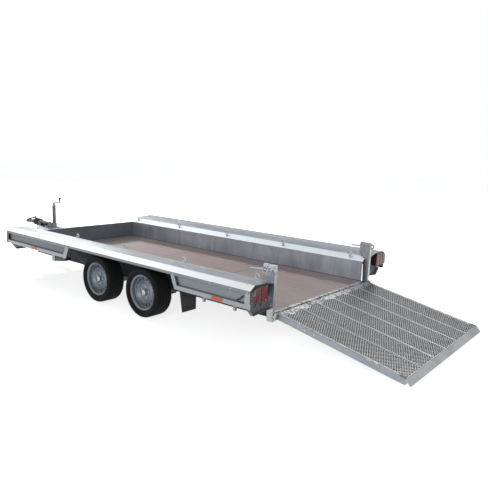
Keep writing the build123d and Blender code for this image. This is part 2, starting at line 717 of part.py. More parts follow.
def wheels():
    """Tyre, pressed steel rim and brake drum of each of the four road wheels."""
    flange = (RIM_FLANGE_RADIUS, RIM_HALF_WIDTH)
    seat = RIM_FLANGE_RADIUS - 16.5
    well = BEAD_RADIUS - 31
    barrel_half = [flange, (seat, RIM_HALF_WIDTH - 8), (seat - 3, 38), (well, 20)]
    barrel = [(s, r) for r, s in barrel_half[::-1]]
    barrel = [(-s, r) for s, r in reversed(barrel)] + barrel
    rim_outline = [(r, s) for s, r in bent_strip(barrel, RIM_WALL)]
    disc_path = [
        (158.5, 34),
        (150, 36),
        (143, 42),
        (127, 47),
        (113, 60),
        (108, 60),
        (94, 42),
        (86, 35),
        (36, 35),
        (33, 44),
    ]
    disc_outline = bent_strip(disc_path, -DISC_THICK)
    cap_end = MOUNT_OFFSET + CAP_LENGTH
    cap_outline = [
        (0, MOUNT_OFFSET),
        (CAP_RADIUS, MOUNT_OFFSET),
        (CAP_RADIUS, cap_end - 12),
        (CAP_RADIUS - 6, cap_end - 3),
        (CAP_RADIUS - 14, cap_end),
        (0, cap_end),
    ]
    drum_outline = [
        (STUB_RADIUS + RUNNING_FIT, MOUNT_OFFSET - DRUM_LENGTH),
        (DRUM_RADIUS, MOUNT_OFFSET - DRUM_LENGTH),
        (DRUM_RADIUS, MOUNT_OFFSET - 8),
        (DRUM_RADIUS - 14, MOUNT_OFFSET),
        (0, MOUNT_OFFSET),
        (0, MOUNT_OFFSET - HUB_DEPTH),
        (STUB_RADIUS + RUNNING_FIT, MOUNT_OFFSET - HUB_DEPTH),
    ]
    for end, axle_x in (("rear", AXLE_REAR_X), ("front", AXLE_FRONT_X)):
        place = Location((axle_x, WHEEL_Y, TYRE_RADIUS), (-90, 0, 0))
        tyre = spun(full_section(tyre_half_section()), place)
        disc = spun(disc_outline, place)
        for i in range(VENT_COUNT):
            angle = math.radians((i + 0.5) * 360 / VENT_COUNT)
            x, y = VENT_CIRCLE * math.cos(angle), VENT_CIRCLE * math.sin(angle)
            disc -= place * Pos(x, y, 44) * Cylinder(VENT_RADIUS, 30)
        rim = spun(rim_outline, place) + disc
        drum = spun(drum_outline, place)
        cap = spun(cap_outline, place)
        add_both("tyre_" + end, tyre)
        add_both("rim_" + end, rim)
        add_both("drum_" + end, drum + cap)


def arm_outline(axle_x):
    """Side view of the swing arm: two round ends joined by straight sides."""
    root, hub = Vector(axle_x + ARM_TRAIL, TUBE_Z), Vector(axle_x, TYRE_RADIUS)
    circles = Pos(root.X, root.Y) * Circle(ARM_ROOT_RADIUS)
    circles += Pos(hub.X, hub.Y) * Circle(ARM_HUB_RADIUS)
    return make_hull(circles.edges())


def axles():
    """Rubber-sprung axle tubes with swing arms, backplates and stubs."""
    for end, axle_x in (("rear", AXLE_REAR_X), ("front", AXLE_FRONT_X)):
        mid = axle_x + ARM_TRAIL
        inner = ARM_OUTER_Y - ARM_WIDTH
        x_range = (mid - AXLE_TUBE / 2, mid + AXLE_TUBE / 2)
        axle = block(x_range, (-inner, inner), (TUBE_Z - AXLE_TUBE / 2, TUBE_Z + AXLE_TUBE / 2))
        plane = Plane(origin=(0, ARM_OUTER_Y, 0), x_dir=(1, 0, 0), z_dir=(0, -1, 0))
        arm = extrude(plane * arm_outline(axle_x), ARM_WIDTH)
        plate_y = WHEEL_Y + MOUNT_OFFSET - DRUM_LENGTH - BACKPLATE_THICK - BACKPLATE_GAP
        stub_end = WHEEL_Y + MOUNT_OFFSET - HUB_DEPTH - STUB_END_GAP
        x, z = axle_x, TYRE_RADIUS
        side = arm + rod((x, ARM_OUTER_Y, z), (x, plate_y, z), ARM_HUB_RADIUS)
        side += rod((x, plate_y, z), (x, plate_y + BACKPLATE_THICK, z), DRUM_RADIUS - 4)
        side += rod((x, plate_y, z), (x, stub_end, z), STUB_RADIUS)
        add("axle_" + end, axle + side + mirrored(side))


def drawbar_y(x):
    share = (x - DRAWBAR_REAR_X) / (DRAWBAR_FRONT_X - DRAWBAR_REAR_X)
    return DRAWBAR_REAR_Y + share * (DRAWBAR_FRONT_Y - DRAWBAR_REAR_Y)


def jockey_y():
    """The jockey wheel stands a set gap outside the right leg."""
    return -(drawbar_y(JOCKEY_X) + LEG_WIDTH / 2 + JOCKEY_LEG_GAP)


def drawbar():
    """Two box legs that run under the floor, rise, and end level beside the overrun housing."""
    stations = (
        (DRAWBAR_REAR_X, LEG_REAR_Z),
        (DECK_LENGTH + KINK_REACH, LEG_REAR_Z),
        (DRAWBAR_FRONT_X - LEVEL_LENGTH, LEG_FRONT_Z),
        (DRAWBAR_FRONT_X, LEG_FRONT_Z),
    )
    sections = []
    for x, z in stations:
        plane = Plane(origin=(x, drawbar_y(x), z), x_dir=(0, 1, 0), z_dir=(1, 0, 0))
        sections.append(plane * Rectangle(LEG_WIDTH, LEG_HEIGHT))
    leg = loft(sections[:2], ruled=True)
    for i in range(1, len(sections) - 1):
        leg += loft(sections[i : i + 2], ruled=True)
    add_both("drawbar_leg", leg)


def overrun_device():
    """Housing on the drawbar's tip, bellows over its shaft, and the ball coupling."""
    rear, front = HOUSING_REAR_X, HOUSING_FRONT_X
    plate_front = DRAWBAR_FRONT_X - TOP_PLATE_THICK
    housing = rod((rear, 0, SHAFT_Z), (front, 0, SHAFT_Z), HOUSING_RADIUS)
    housing += rod((front - FLANGE_LENGTH, 0, SHAFT_Z), (front, 0, SHAFT_Z), HOUSING_RADIUS + FLANGE_STEP)
    reach = LEG_WIDTH / 2 - TOP_PLATE_THICK
    left_edge = [(x, drawbar_y(x) + reach) for x in (rear, plate_front)]
    outline = left_edge + [(x, -y) for x, y in reversed(left_edge)]
    top_plate = make_face(Polyline(*outline, close=True))
    housing += extrude(Pos(0, 0, LEG_TOP) * top_plate, TOP_PLATE_THICK)
    for x in (rear, plate_front - SADDLE_THICK):
        saddle_y = (-HOUSING_RADIUS - FLANGE_STEP, HOUSING_RADIUS + FLANGE_STEP)
        housing += block((x, x + SADDLE_THICK), saddle_y, (LEG_TOP, SHAFT_Z))
    add("overrun_housing", housing)

    waves = []
    for i in range(BELLOWS_FOLDS):
        step = BELLOWS_LENGTH / BELLOWS_FOLDS
        waves += [(BELLOWS_WAIST, i * step), (BELLOWS_RADIUS, (i + 0.5) * step)]
    waves.append((BELLOWS_WAIST, BELLOWS_LENGTH))
    outline = [(SHAFT_RADIUS, 0)] + waves + [(SHAFT_RADIUS, BELLOWS_LENGTH)]
    place = Location((front, 0, SHAFT_Z), (0, 90, 0))
    add("bellows", spun(outline, place))

    head_start = front + BELLOWS_LENGTH
    outer = BALL_RADIUS + SOCKET_WALL
    mouth = BALL_Z - SOCKET_SKIRT
    head = Pos(BALL_X, 0, BALL_Z) * Sphere(outer)
    head += rod((BALL_X, 0, mouth), (BALL_X, 0, BALL_Z), outer)
    neck_top = BALL_Z + outer - TOP_PLATE_THICK
    neck = [
        (head_start, SHAFT_Z - NECK_HALF_WIDTH),
        (head_start, SHAFT_Z + NECK_HALF_WIDTH),
        (BALL_X - BALL_RADIUS, neck_top),
        (BALL_X, neck_top),
        (BALL_X, mouth),
        (BALL_X - outer, mouth),
    ]
    head += along_y(neck, -NECK_HALF_WIDTH, NECK_HALF_WIDTH)
    head += rod((front, 0, SHAFT_Z), (head_start, 0, SHAFT_Z), SHAFT_RADIUS - SHAFT_GAP)
    bore = BALL_RADIUS + BALL_CLEARANCE
    head -= Pos(BALL_X, 0, BALL_Z) * Sphere(bore)
    below = (BALL_X - 2 * outer, BALL_X + 2 * outer)
    head -= block(below, (-2 * outer, 2 * outer), (0, mouth))
    head -= rod((BALL_X, 0, mouth - 1), (BALL_X, 0, BALL_Z), bore)
    add("coupling_head", head)
    root = (BALL_X - outer, 0, BALL_Z + outer)
    lever = rod(root, (head_start, 0, HANDLE_TOP), HANDLE_THICK)
    lever += block(
        (BALL_X - 2 * outer, BALL_X - outer / 2),
        (-HANDLE_THICK, HANDLE_THICK),
        (neck_top, BALL_Z + outer + HANDLE_THICK),
    )
    lever -= head
    add("coupling_grip", lever)


def handbrake():
    """Lever beside the housing, lying forward as it does when the brake is off."""
    side = HOUSING_RADIUS + 16
    pivot = (HOUSING_REAR_X + 50, side, SHAFT_Z)
    tip = (HOUSING_FRONT_X - FLANGE_LENGTH, side, SHAFT_Z + 26)
    lever = rod((pivot[0], 0, pivot[2]), (pivot[0], side + 8, pivot[2]), 20)
    lever += rod(pivot, tip, 9)
    grip_start = Vector(*pivot) + (Vector(*tip) - Vector(*pivot)) * 0.6
    lever += rod(tuple(grip_start), tip, 12)
    hold_ends = ((HOUSING_REAR_X, 0, SHAFT_Z), (HOUSING_FRONT_X, 0, SHAFT_Z))
    lever -= rod(*hold_ends, HOUSING_RADIUS + SEAT_GAP)
    add("handbrake_lever", lever)


def lighting_plug():
    """The plug for the towing vehicle, parked on a foot on the drawbar's top plate."""
    x = DRAWBAR_FRONT_X - PLUG_SETBACK
    y = drawbar_y(x) + LEG_WIDTH / 2 - PLUG_INSET
    seat = LEG_TOP + TOP_PLATE_THICK
    z = seat + PLUG_RADIUS + 1
    end = x + PLUG_LENGTH / 2
    plug = rod((x - PLUG_LENGTH / 2, y, z), (end, y, z), PLUG_RADIUS)
    plug += rod((end, y, z), (end + 8, y, z), PLUG_RADIUS - 5)
    plug += block((x - PLUG_FOOT / 2, x + PLUG_FOOT / 2), (y - 8, y + 2), (seat, z))
    add("lighting_plug", plug)


def jockey_wheel():
    """Screw-down nose wheel: fixed outer tube, sliding inner tube, fork and wheel."""
    x, y = JOCKEY_X, jockey_y()
    bore = JOCKEY_TUBE_RADIUS - JOCKEY_TUBE_WALL
    tube = rod((x, y, JOCKEY_TUBE_FOOT), (x, y, JOCKEY_TUBE_TOP), JOCKEY_TUBE_RADIUS)
    tube -= rod((x, y, JOCKEY_TUBE_FOOT - 1), (x, y, JOCKEY_TUBE_TOP - TUBE_CAP), bore)
    add("jockey_tube", tube)

    half_clamp = JOCKEY_TUBE_RADIUS + CLAMP_WALL
    clamp_z = (JOCKEY_TUBE_FOOT, CLAMP_TOP)
    leg_face = -(drawbar_y(x + half_clamp) + LEG_WIDTH / 2)
    clamp = rod((x, y, clamp_z[0]), (x, y, clamp_z[1]), half_clamp)
    clamp += block((x - half_clamp, x + half_clamp), (y, leg_face), clamp_z)
    clamp -= rod((x, y, clamp_z[0] - 1), (x, y, clamp_z[1] + 1), JOCKEY_TUBE_RADIUS)
    clamp -= nodes["drawbar_leg_right"][0]
    clamp -= nodes["overrun_housing"][0]
    add("jockey_clamp", clamp)

    hub_top = JOCKEY_TUBE_TOP + 2 * CRANK_RADIUS
    rise_z = hub_top + CRANK_RISE - CRANK_RADIUS
    elbow = (x + CRANK_ELBOW * CRANK_REACH[0], y + CRANK_ELBOW * CRANK_REACH[1], rise_z)
    end = (x + CRANK_REACH[0], y + CRANK_REACH[1], rise_z)
    crank = rod((x, y, JOCKEY_TUBE_TOP), (x, y, hub_top), CRANK_RADIUS + 4)
    crank += rod((x, y, hub_top - CRANK_RADIUS), elbow, CRANK_RADIUS)
    crank += Pos(*elbow) * Sphere(CRANK_RADIUS)
    crank += rod(elbow, end, CRANK_RADIUS)
    crank += Pos(*end) * Sphere(CRANK_RADIUS)
    grip_foot = (end[0], end[1], rise_z + CRANK_RADIUS)
    crank += rod(end, grip_foot, CRANK_RADIUS)
    add("jockey_crank", crank)
    grip_top = (end[0], end[1], rise_z + CRANK_RADIUS + GRIP_LENGTH)
    add("jockey_grip", rod(grip_foot, grip_top, GRIP_RADIUS))

    inner_top = JOCKEY_TUBE_TOP - 2 * TUBE_CAP - JOCKEY_LIFT
    inner = rod((x, y, CROWN_TOP + 1), (x, y, inner_top), bore - JOCKEY_SLIDE_CLEARANCE)
    inner -= rod((x, y, CROWN_TOP), (x, y, CROWN_TOP + STEM_LENGTH + 4), STEM_RADIUS + RUNNING_FIT)
    add("jockey_inner", inner)

    axle_x = x - JOCKEY_TRAIL
    half = JOCKEY_WHEEL_WIDTH / 2 + FORK_SIDE_GAP
    fork = rod((x, y, CROWN_TOP - CROWN_THICK), (x, y, CROWN_TOP), CROWN_RADIUS)
    fork += rod((x, y, CROWN_TOP - CROWN_THICK), (x, y, CROWN_TOP + STEM_LENGTH), STEM_RADIUS)
    side = [
        (x - 24, CROWN_TOP),
        (x + 20, CROWN_TOP),
        (axle_x + 18, JOCKEY_WHEEL_RADIUS - 12),
        (axle_x, JOCKEY_WHEEL_RADIUS - 18),
        (axle_x - 18, JOCKEY_WHEEL_RADIUS - 12),
    ]
    crown_y = (y - half - FORK_PLATE, y + half + FORK_PLATE)
    fork += block((x - 24, x + 20), crown_y, (CROWN_TOP - CROWN_THICK, CROWN_TOP))
    fork += along_y(side, y + half, y + half + FORK_PLATE)
    fork += along_y(side, y - half - FORK_PLATE, y - half)
    pin_ends = [(axle_x, y + s * (half + FORK_PLATE + 4), JOCKEY_WHEEL_RADIUS) for s in (-1, 1)]
    fork += rod(pin_ends[0], pin_ends[1], JOCKEY_PIN_RADIUS)
    add("jockey_fork", fork)

    w, r = JOCKEY_WHEEL_WIDTH / 2, JOCKEY_WHEEL_RADIUS
    pin = JOCKEY_PIN_RADIUS + RUNNING_FIT
    half_section = [
        (pin, 0),
        (pin, w),
        (22, w),
        (24, w - 8),
        (r - 38, w - 8),
        (r - 32, w),
        (r - 8, w),
        (r, w - 10),
        (r, 0),
    ]
    place = Location((axle_x, y, r), (-90, 0, 0))
    add("jockey_wheel", spun(full_section(half_section), place))


def ramp_block(u_range, y_range, w_range):
    """A box of the ramp: u runs from the hinge to the toe, w up from the hinge."""
    return block((-u_range[1], -u_range[0]), y_range, w_range)


def hinges():
    """Lugs on the sill and blocks on the posts, each with the pins that the ramp turns on."""
    neck = (HINGE_X, -SILL_DEPTH)
    for mid in LUG_MIDS:
        y_range = (mid - LUG_WIDTH / 2, mid + LUG_WIDTH / 2)
        lug = block(neck, y_range, (HINGE_Z - KNUCKLE_RADIUS, HINGE_Z + KNUCKLE_RADIUS))
        lug += rod((HINGE_X, y_range[0], HINGE_Z), (HINGE_X, y_range[1], HINGE_Z), KNUCKLE_RADIUS)
        pin = ((HINGE_X, y_range[0] - PIN_REACH, HINGE_Z), (HINGE_X, y_range[1] + PIN_REACH, HINGE_Z))
        add("hinge_lugs", lug + rod(*pin, HINGE_PIN_RADIUS))
    y_range = (POST_INNER_Y, POST_OUTER_Y - 10)
    rear = HINGE_X - KNUCKLE_RADIUS
    lug = block((rear, POST_REAR_FOOT - 1), y_range, (HINGE_Z - 24, HINGE_Z + KNUCKLE_RADIUS + 6))
    pin_start = (HINGE_X, POST_INNER_Y - RAMP_POST_GAP - PIN_REACH + 4, HINGE_Z)
    lug += rod(pin_start, (HINGE_X, POST_INNER_Y, HINGE_Z), HINGE_PIN_RADIUS)
    lug -= nodes["rear_post_left"][0]
    add_pair("hinge_lugs", lug)


def ramp():
    """Side rails, crossbars, ribs, expanded-metal panels and the folded toe plate."""
    top, foot = RAMP_RISE, RAMP_RISE - RAMP_DEPTH
    half, rail = RAMP_HALF_WIDTH, RAMP_RAIL_WIDTH
    rail_in = half - rail
    bore = HINGE_PIN_RADIUS + RUNNING_FIT

    section = [
        (rail_in, top - RAMP_RAIL_WALL),
        (rail_in, top),
        (half, top),
        (half, foot),
        (rail_in, foot),
        (rail_in, foot + RAMP_RAIL_WALL),
        (half - RAMP_RAIL_WALL, foot + RAMP_RAIL_WALL),
        (half - RAMP_RAIL_WALL, top - RAMP_RAIL_WALL),
    ]
    side = along_x(section, -RAMP_LENGTH, 0)
    end = rod((0, rail_in - 6, 0), (0, half, 0), KNUCKLE_RADIUS)
    side += end
    side -= rod((0, half - PIN_REACH, 0), (0, half + 1, 0), bore)
    for u in RAIL_HOLE_REACHES:
        hole = ((-u, rail_in, -RAIL_HOLE_DROP), (-u, half + 1, -RAIL_HOLE_DROP))
        side -= rod(*hole, RAIL_HOLE_RADIUS)
    rails = [side, mirrored(side)]
    add("ramp_rails", *[RAMP_PLACE * piece for piece in rails])

    edges = [-rail_in + 6]
    for mid in LUG_MIDS:
        edges += [mid - LUG_WIDTH / 2 - LUG_GAP, mid + LUG_WIDTH / 2 + LUG_GAP]
    edges.append(rail_in - 6)
    for low, high in zip(edges[::2], edges[1::2]):
        tube = rod((0, low, 0), (0, high, 0), KNUCKLE_RADIUS)
        tube += ramp_block((4, RAMP_START), (low, high), (foot + 12, top - MESH_THICK))
        tube -= rod((0, low, 0), (0, low + PIN_REACH + 4, 0), bore)
        tube -= rod((0, high - PIN_REACH - 4, 0), (0, high, 0), bore)
        add("ramp_hinge_tubes", RAMP_PLACE * tube)

    bays = RIB_COUNT + 1
    pitch = 2 * rail_in / bays
    rib_mids = [-rail_in + pitch * (i + 1) for i in range(RIB_COUNT)]
    for mid in rib_mids:
        y_range = (mid - RIB_WIDTH / 2, mid + RIB_WIDTH / 2)
        rib = ramp_block((RAMP_START, RAMP_LENGTH - 2), y_range, (top - RIB_DEPTH, top + RIB_RISE))
        add("ramp_ribs", RAMP_PLACE * rib)

    bar_top = top - RIB_DEPTH
    bar_foot = max(foot + RAMP_RAIL_WALL, bar_top - CROSSBAR_HEIGHT)
    for i in range(CROSSBAR_COUNT):
        u = RAMP_START + (i + 0.5) * (RAMP_LENGTH - RAMP_START) / CROSSBAR_COUNT
        u_range = (u - CROSSBAR_WIDTH / 2, u + CROSSBAR_WIDTH / 2)
        reach = half - RAMP_RAIL_WALL
        add("ramp_crossbars", RAMP_PLACE * ramp_block(u_range, (-reach, reach), (bar_foot, bar_top)))

    strips = [-rail_in]
    for mid in rib_mids:
        strips += [mid - RIB_WIDTH / 2, mid + RIB_WIDTH / 2]
    strips.append(rail_in)
    for low, high in zip(strips[::2], strips[1::2]):
        panel = ramp_block((RAMP_START, RAMP_LENGTH - 2), (low, high), (top - MESH_THICK, top))
        add("ramp_mesh", RAMP_PLACE * panel)

    fold = math.radians(TOE_FOLD)
    slope = math.radians(RAMP_ANGLE + TOE_FOLD)
    tilt = math.radians(RAMP_ANGLE)
    end_z = HINGE_Z - RAMP_LENGTH * math.sin(tilt) + top * math.cos(tilt)
    length = (end_z - TOE_THICK * math.cos(slope) - 0.5) / math.sin(slope)
    tip = (-RAMP_LENGTH - length * math.cos(fold), top - length * math.sin(fold))
    path = [tip, (-RAMP_LENGTH, top), (-RAMP_LENGTH, foot + 6)]
    toe = along_y(bent_strip(path, TOE_THICK), -half, half)
    add("ramp_toe", RAMP_PLACE * toe)


def export_nodes():
    """Centre the model on its own length and write one file for each node."""
    boxes = [solid.bounding_box() for solids in nodes.values() for solid in solids]
    low_x = min(box.min.X for box in boxes)
    high_x = max(box.max.X for box in boxes)
    shift = Location((-(low_x + high_x) / 2, 0, 0))
    os.makedirs("parts", exist_ok=True)
    for name, solids in nodes.items():
        pieces = [shift * piece for solid in solids for piece in solid.solids()]
        shape = pieces[0] if len(pieces) == 1 else Compound(children=pieces)
        export_step(shape, f"parts/{name}.step")
    print("shift", round(shift.position.X, 3), "ramp angle", round(RAMP_ANGLE, 3))
    print("nodes", len(nodes))


load_floor()
side_walls()
front_wall()
skirts()
chassis()
transoms()
rear_posts()
tail_lamps()
reflectors()
lashing_rings()
mudflaps()
wheel_chocks()
sill_hooks()
wheels()
axles()
drawbar()
overrun_device()
handbrake()
lighting_plug()
jockey_wheel()
hinges()
ramp()
export_nodes()
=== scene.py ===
import bmesh
import bpy
import json
import math
from mathutils import Matrix, Vector


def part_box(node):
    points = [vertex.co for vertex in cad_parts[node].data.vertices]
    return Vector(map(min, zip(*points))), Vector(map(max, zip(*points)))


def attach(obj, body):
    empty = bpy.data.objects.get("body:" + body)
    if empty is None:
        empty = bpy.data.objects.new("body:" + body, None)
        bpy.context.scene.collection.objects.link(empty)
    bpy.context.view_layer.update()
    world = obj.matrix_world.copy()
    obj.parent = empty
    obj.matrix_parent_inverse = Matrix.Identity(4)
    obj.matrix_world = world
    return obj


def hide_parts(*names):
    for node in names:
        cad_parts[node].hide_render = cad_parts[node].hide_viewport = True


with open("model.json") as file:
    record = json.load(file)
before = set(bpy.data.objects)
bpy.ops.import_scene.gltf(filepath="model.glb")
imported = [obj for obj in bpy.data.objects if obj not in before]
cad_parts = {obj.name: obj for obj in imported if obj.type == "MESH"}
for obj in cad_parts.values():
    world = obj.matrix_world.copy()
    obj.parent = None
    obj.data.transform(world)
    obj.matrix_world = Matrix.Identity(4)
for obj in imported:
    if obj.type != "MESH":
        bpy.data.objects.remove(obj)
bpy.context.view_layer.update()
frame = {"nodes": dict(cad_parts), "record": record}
NODES = frame["nodes"]
scene = bpy.context.scene

TURN = 2 * math.pi
# The rear edge of the load floor is x = 0 in the deck's own measures.
DECK_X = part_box("deck_floor")[0][0]


def at(x, y, z):
    """A point given in metres from the rear edge of the load floor."""
    return Vector((x + DECK_X, y, z))


def deck_at(p):
    return at(*p)


# ---- materials


class Graph:
    """Short calls that add and join shader nodes of one material."""

    def __init__(self, name):
        self.mat = bpy.data.materials.new(name)
        self.mat.use_nodes = True
        self.tree = self.mat.node_tree
        self.bsdf = self.tree.nodes["Principled BSDF"]
        self.coord = self.node("TexCoord").outputs["Object"]

    def put(self, socket, value):
        """Joins another socket to this one, or sets its plain value."""
        if isinstance(value, bpy.types.NodeSocket):
            self.tree.links.new(value, socket)
        else:
            socket.default_value = value

    def node(self, kind, **inputs):
        made = self.tree.nodes.new("ShaderNode" + kind)
        for key, value in inputs.items():
            self.put(made.inputs[key.replace("_", " ")], value)
        return made

    def done(self, base, roughness, bump=None, metallic=0.0, **more):
        """Joins all to the shader. A bump is its height, strength and distance."""
        if bump:
            inputs = dict(zip(("Height", "Strength", "Distance"), bump))
            more["Normal"] = self.node("Bump", **inputs).outputs["Normal"]
        more.update(Base_Color=base, Roughness=roughness, Metallic=metallic)
        for key, value in more.items():
            self.put(self.bsdf.inputs[key.replace("_", " ")], value)
        return self.mat

    def stretch(self, x, y, z, turn=(0, 0, 0)):
        return self.node("Mapping", Vector=self.coord, Scale=(x, y, z), Rotation=turn).outputs[0]

    def noise(self, scale, detail=4, rough=0.55, vector=None, distortion=0.0):
        inputs = {"Scale": scale, "Detail": detail, "Roughness": rough, "Distortion": distortion}
        return self.node("TexNoise", Vector=vector or self.coord, **inputs).outputs["Fac"]

    def voronoi(self, scale, output):
        return self.node("TexVoronoi", Vector=self.coord, Scale=scale).outputs[output]

    def grey(self, colour):
        return self.node("RGBToBW", Color=colour).outputs[0]

    def axis(self, name):
        return self.node("SeparateXYZ", Vector=self.coord).outputs[name]

    def facing(self):
        """The outputs X, Y and Z of the surface's own direction."""
        normal = self.node("NewGeometry").outputs["Normal"]
        return self.node("SeparateXYZ", Vector=normal).outputs

    def ramp(self, fac, *stops):
        made = self.node("ValToRGB", Fac=fac)
        elements = made.color_ramp.elements
        while len(elements) < len(stops):
            elements.new(0.5)
        for element, (place, colour) in zip(elements, stops):
            element.position = place
            element.color = (*colour, 1)
        return made.outputs["Color"]

    def span(self, fac, low, high, from_low=0.0, from_high=1.0):
        """Carries a value from one range to another, and holds it at the ends."""
        ends = {"From_Min": from_low, "From_Max": from_high, "To_Min": low, "To_Max": high}
        return self.node("MapRange", Value=fac, **ends).outputs["Result"]

    def math(self, operation, *values):
        made = self.node("Math")
        made.operation = operation
        for socket, value in zip(made.inputs, values):
            self.put(socket, value)
        return made.outputs[0]

    def add(self, a, b):
        return self.math("ADD", a, b)

    def times(self, a, b):
        return self.math("MULTIPLY", a, b)

    def size(self, a):
        return self.math("ABSOLUTE", a)

    def ridges(self, value, scale):
        return self.size(self.math("SINE", self.times(value, scale)))

    def mix(self, fac, a, b):
        made = self.node("Mix")
        made.data_type = "RGBA"
        for index, value in ((0, fac), (6, a), (7, b)):
            self.put(made.inputs[index], (*value, 1) if isinstance(value, tuple) else value)
        return made.outputs[2]


def galvanised(name, dark, light, rough, spangle, metallic, streak=(2.0, 9.0, 9.0)):
    """Zinc-coated steel: crystals of slightly different tone, faint runs and dull stains."""
    g = Graph(name)
    crystals = g.grey(g.voronoi(spangle, "Color"))
    runs = g.noise(1.0, 5, 0.6, g.stretch(*streak))
    fine = g.noise(160, 3, 0.6)
    stain = g.noise(2.6, 6, 0.62, distortion=0.6)
    tone = g.add(g.add(g.times(crystals, 0.22), g.times(runs, 0.62)), g.times(fine, 0.16))
    dull = g.span(stain, 0.0, 0.35, 0.52, 0.72)
    base = g.mix(dull, g.mix(tone, dark, light), tuple(0.72 * v for v in dark))
    roughness = g.add(g.span(stain, rough[0], rough[1], 0.3, 0.7), g.times(crystals, 0.06))
    return g.done(base, roughness, (g.add(fine, g.times(crystals, 0.5)), 0.12, 0.0006), metallic)


def phenolic_ply(name):
    """Brown filmed plywood with a fine pressed wire pattern, scuffs and dust."""
    g = Graph(name)
    x, y = g.axis("X"), g.axis("Y")
    wire = g.times(*(g.ridges(g.add(x, g.times(y, lean)), 640.0) for lean in (1, -1)))
    grain = g.noise(3.0, 8, 0.62, g.stretch(1.2, 22, 22))
    scuff = g.noise(6.0, 7, 0.7, g.stretch(0.6, 3.0, 1.0), 0.4)
    dust = g.noise(1.1, 5, 0.6)
    base = g.mix(g.span(grain, 0, 1, 0.3, 0.7), (0.270, 0.205, 0.195), (0.385, 0.305, 0.295))
    base = g.mix(g.span(scuff, 0.0, 0.55, 0.5, 0.74), base, (0.49, 0.42, 0.40))
    base = g.mix(g.span(dust, 0.0, 0.45, 0.42, 0.75), base, (0.50, 0.44, 0.43))
    base = g.mix(g.times(wire, 0.22), base, (0.14, 0.10, 0.095))
    return g.done(base, g.span(scuff, 0.42, 0.66, 0.3, 0.7), (wire, 0.35, 0.0008))


def plain_metal(name, colour, rough, metallic, mottle, scale):
    """Painted, cast or plated metal with a mottled tone and fine grain."""
    g = Graph(name)
    cloud = g.noise(scale, 6, 0.6)
    grit = g.noise(240.0, 3, 0.6)
    dark = tuple(v * (1 - 2.2 * mottle) for v in colour)
    light = tuple(min(1.0, v * (1 + mottle)) for v in colour)
    base = g.mix(g.span(cloud, 0, 1, 0.32, 0.68), dark, light)
    base = g.mix(g.span(grit, 0, 0.2, 0.5, 0.8), base, dark)
    roughness = g.span(cloud, rough - 0.07, rough + 0.1, 0.3, 0.7)
    return g.done(base, roughness, (grit, 0.15, 0.0005), metallic)


def rubber(name, colour, rough, dusty, amount):
    """Black rubber or plastic with dust in broad patches."""
    g = Graph(name)
    cloud = g.noise(7, 6, 0.65)
    grit = g.noise(300, 3, 0.6)
    base = g.mix(g.span(cloud, 0, amount, 0.42, 0.75), colour, dusty)
    return g.done(base, g.span(cloud, rough - 0.08, rough + 0.14, 0.3, 0.7), (grit, 0.2, 0.0005))


def lens(name, colour, rough):
    """Moulded lamp plastic with prism lines inside."""
    g = Graph(name)
    prism = g.times(*(g.ridges(g.axis(axis), 520.0) for axis in "YZ"))
    cloud = g.noise(30, 4, 0.6)
    dark = tuple(v * 0.45 for v in colour)
    base = g.mix(g.times(prism, 0.6), colour, dark)
    base = g.mix(g.span(cloud, 0, 0.2, 0.5, 0.8), base, dark)
    return g.done(base, rough, (prism, 0.25, 0.0008), Coat_Weight=0.25, Coat_Roughness=0.08)


def strand_zinc(name):
    """Expanded metal: tops bright from wear and as painted light, and painted shade, near black, on the
    strands' steep sides.
    """
    g = Graph(name)
    cells = g.noise(55, 4, 0.6)
    blot = g.noise(5.0, 5, 0.65, distortion=0.5)
    # Tops lighter and steep sides darker by their facing: painted light on the tops, painted shade on
    # the sides.
    top = g.span(g.facing()["Z"], 0.0, 1.0, 0.35, 0.9)
    steel = g.mix(g.span(cells, 0, 1, 0.3, 0.7), (0.66, 0.68, 0.70), (0.95, 0.95, 0.95))
    steel = g.mix(g.span(blot, 0.0, 0.5, 0.5, 0.7), steel, (0.42, 0.44, 0.46))
    painted_shade = g.mix(g.span(cells, 0, 1, 0.3, 0.7), (0.030, 0.037, 0.048), (0.13, 0.145, 0.165))
    bump = (g.noise(260, 3, 0.6), 0.15, 0.0005)
    return g.done(g.mix(top, painted_shade, steel), g.span(top, 0.62, 0.36), bump, g.span(top, 0.1, 0.85))


def worn_zinc(name, low, high):
    """Walked-on zinc: bright scuffed islands on dull grey."""
    g = Graph(name)
    island = g.noise(34, 5, 0.62, distortion=0.8)
    broad = g.noise(9, 4, 0.6)
    spot = g.add(g.times(island, 0.65), g.times(broad, 0.35))
    dull, mid, bright = (0.17, 0.185, 0.20), (0.38, 0.40, 0.42), (0.78, 0.79, 0.80)
    base = g.ramp(spot, (low, dull), (high - 0.05, mid), (high, bright))
    return g.done(base, g.span(spot, 0.5, 0.26, 0.4, 0.6), (island, 0.3, 0.001), 0.8)


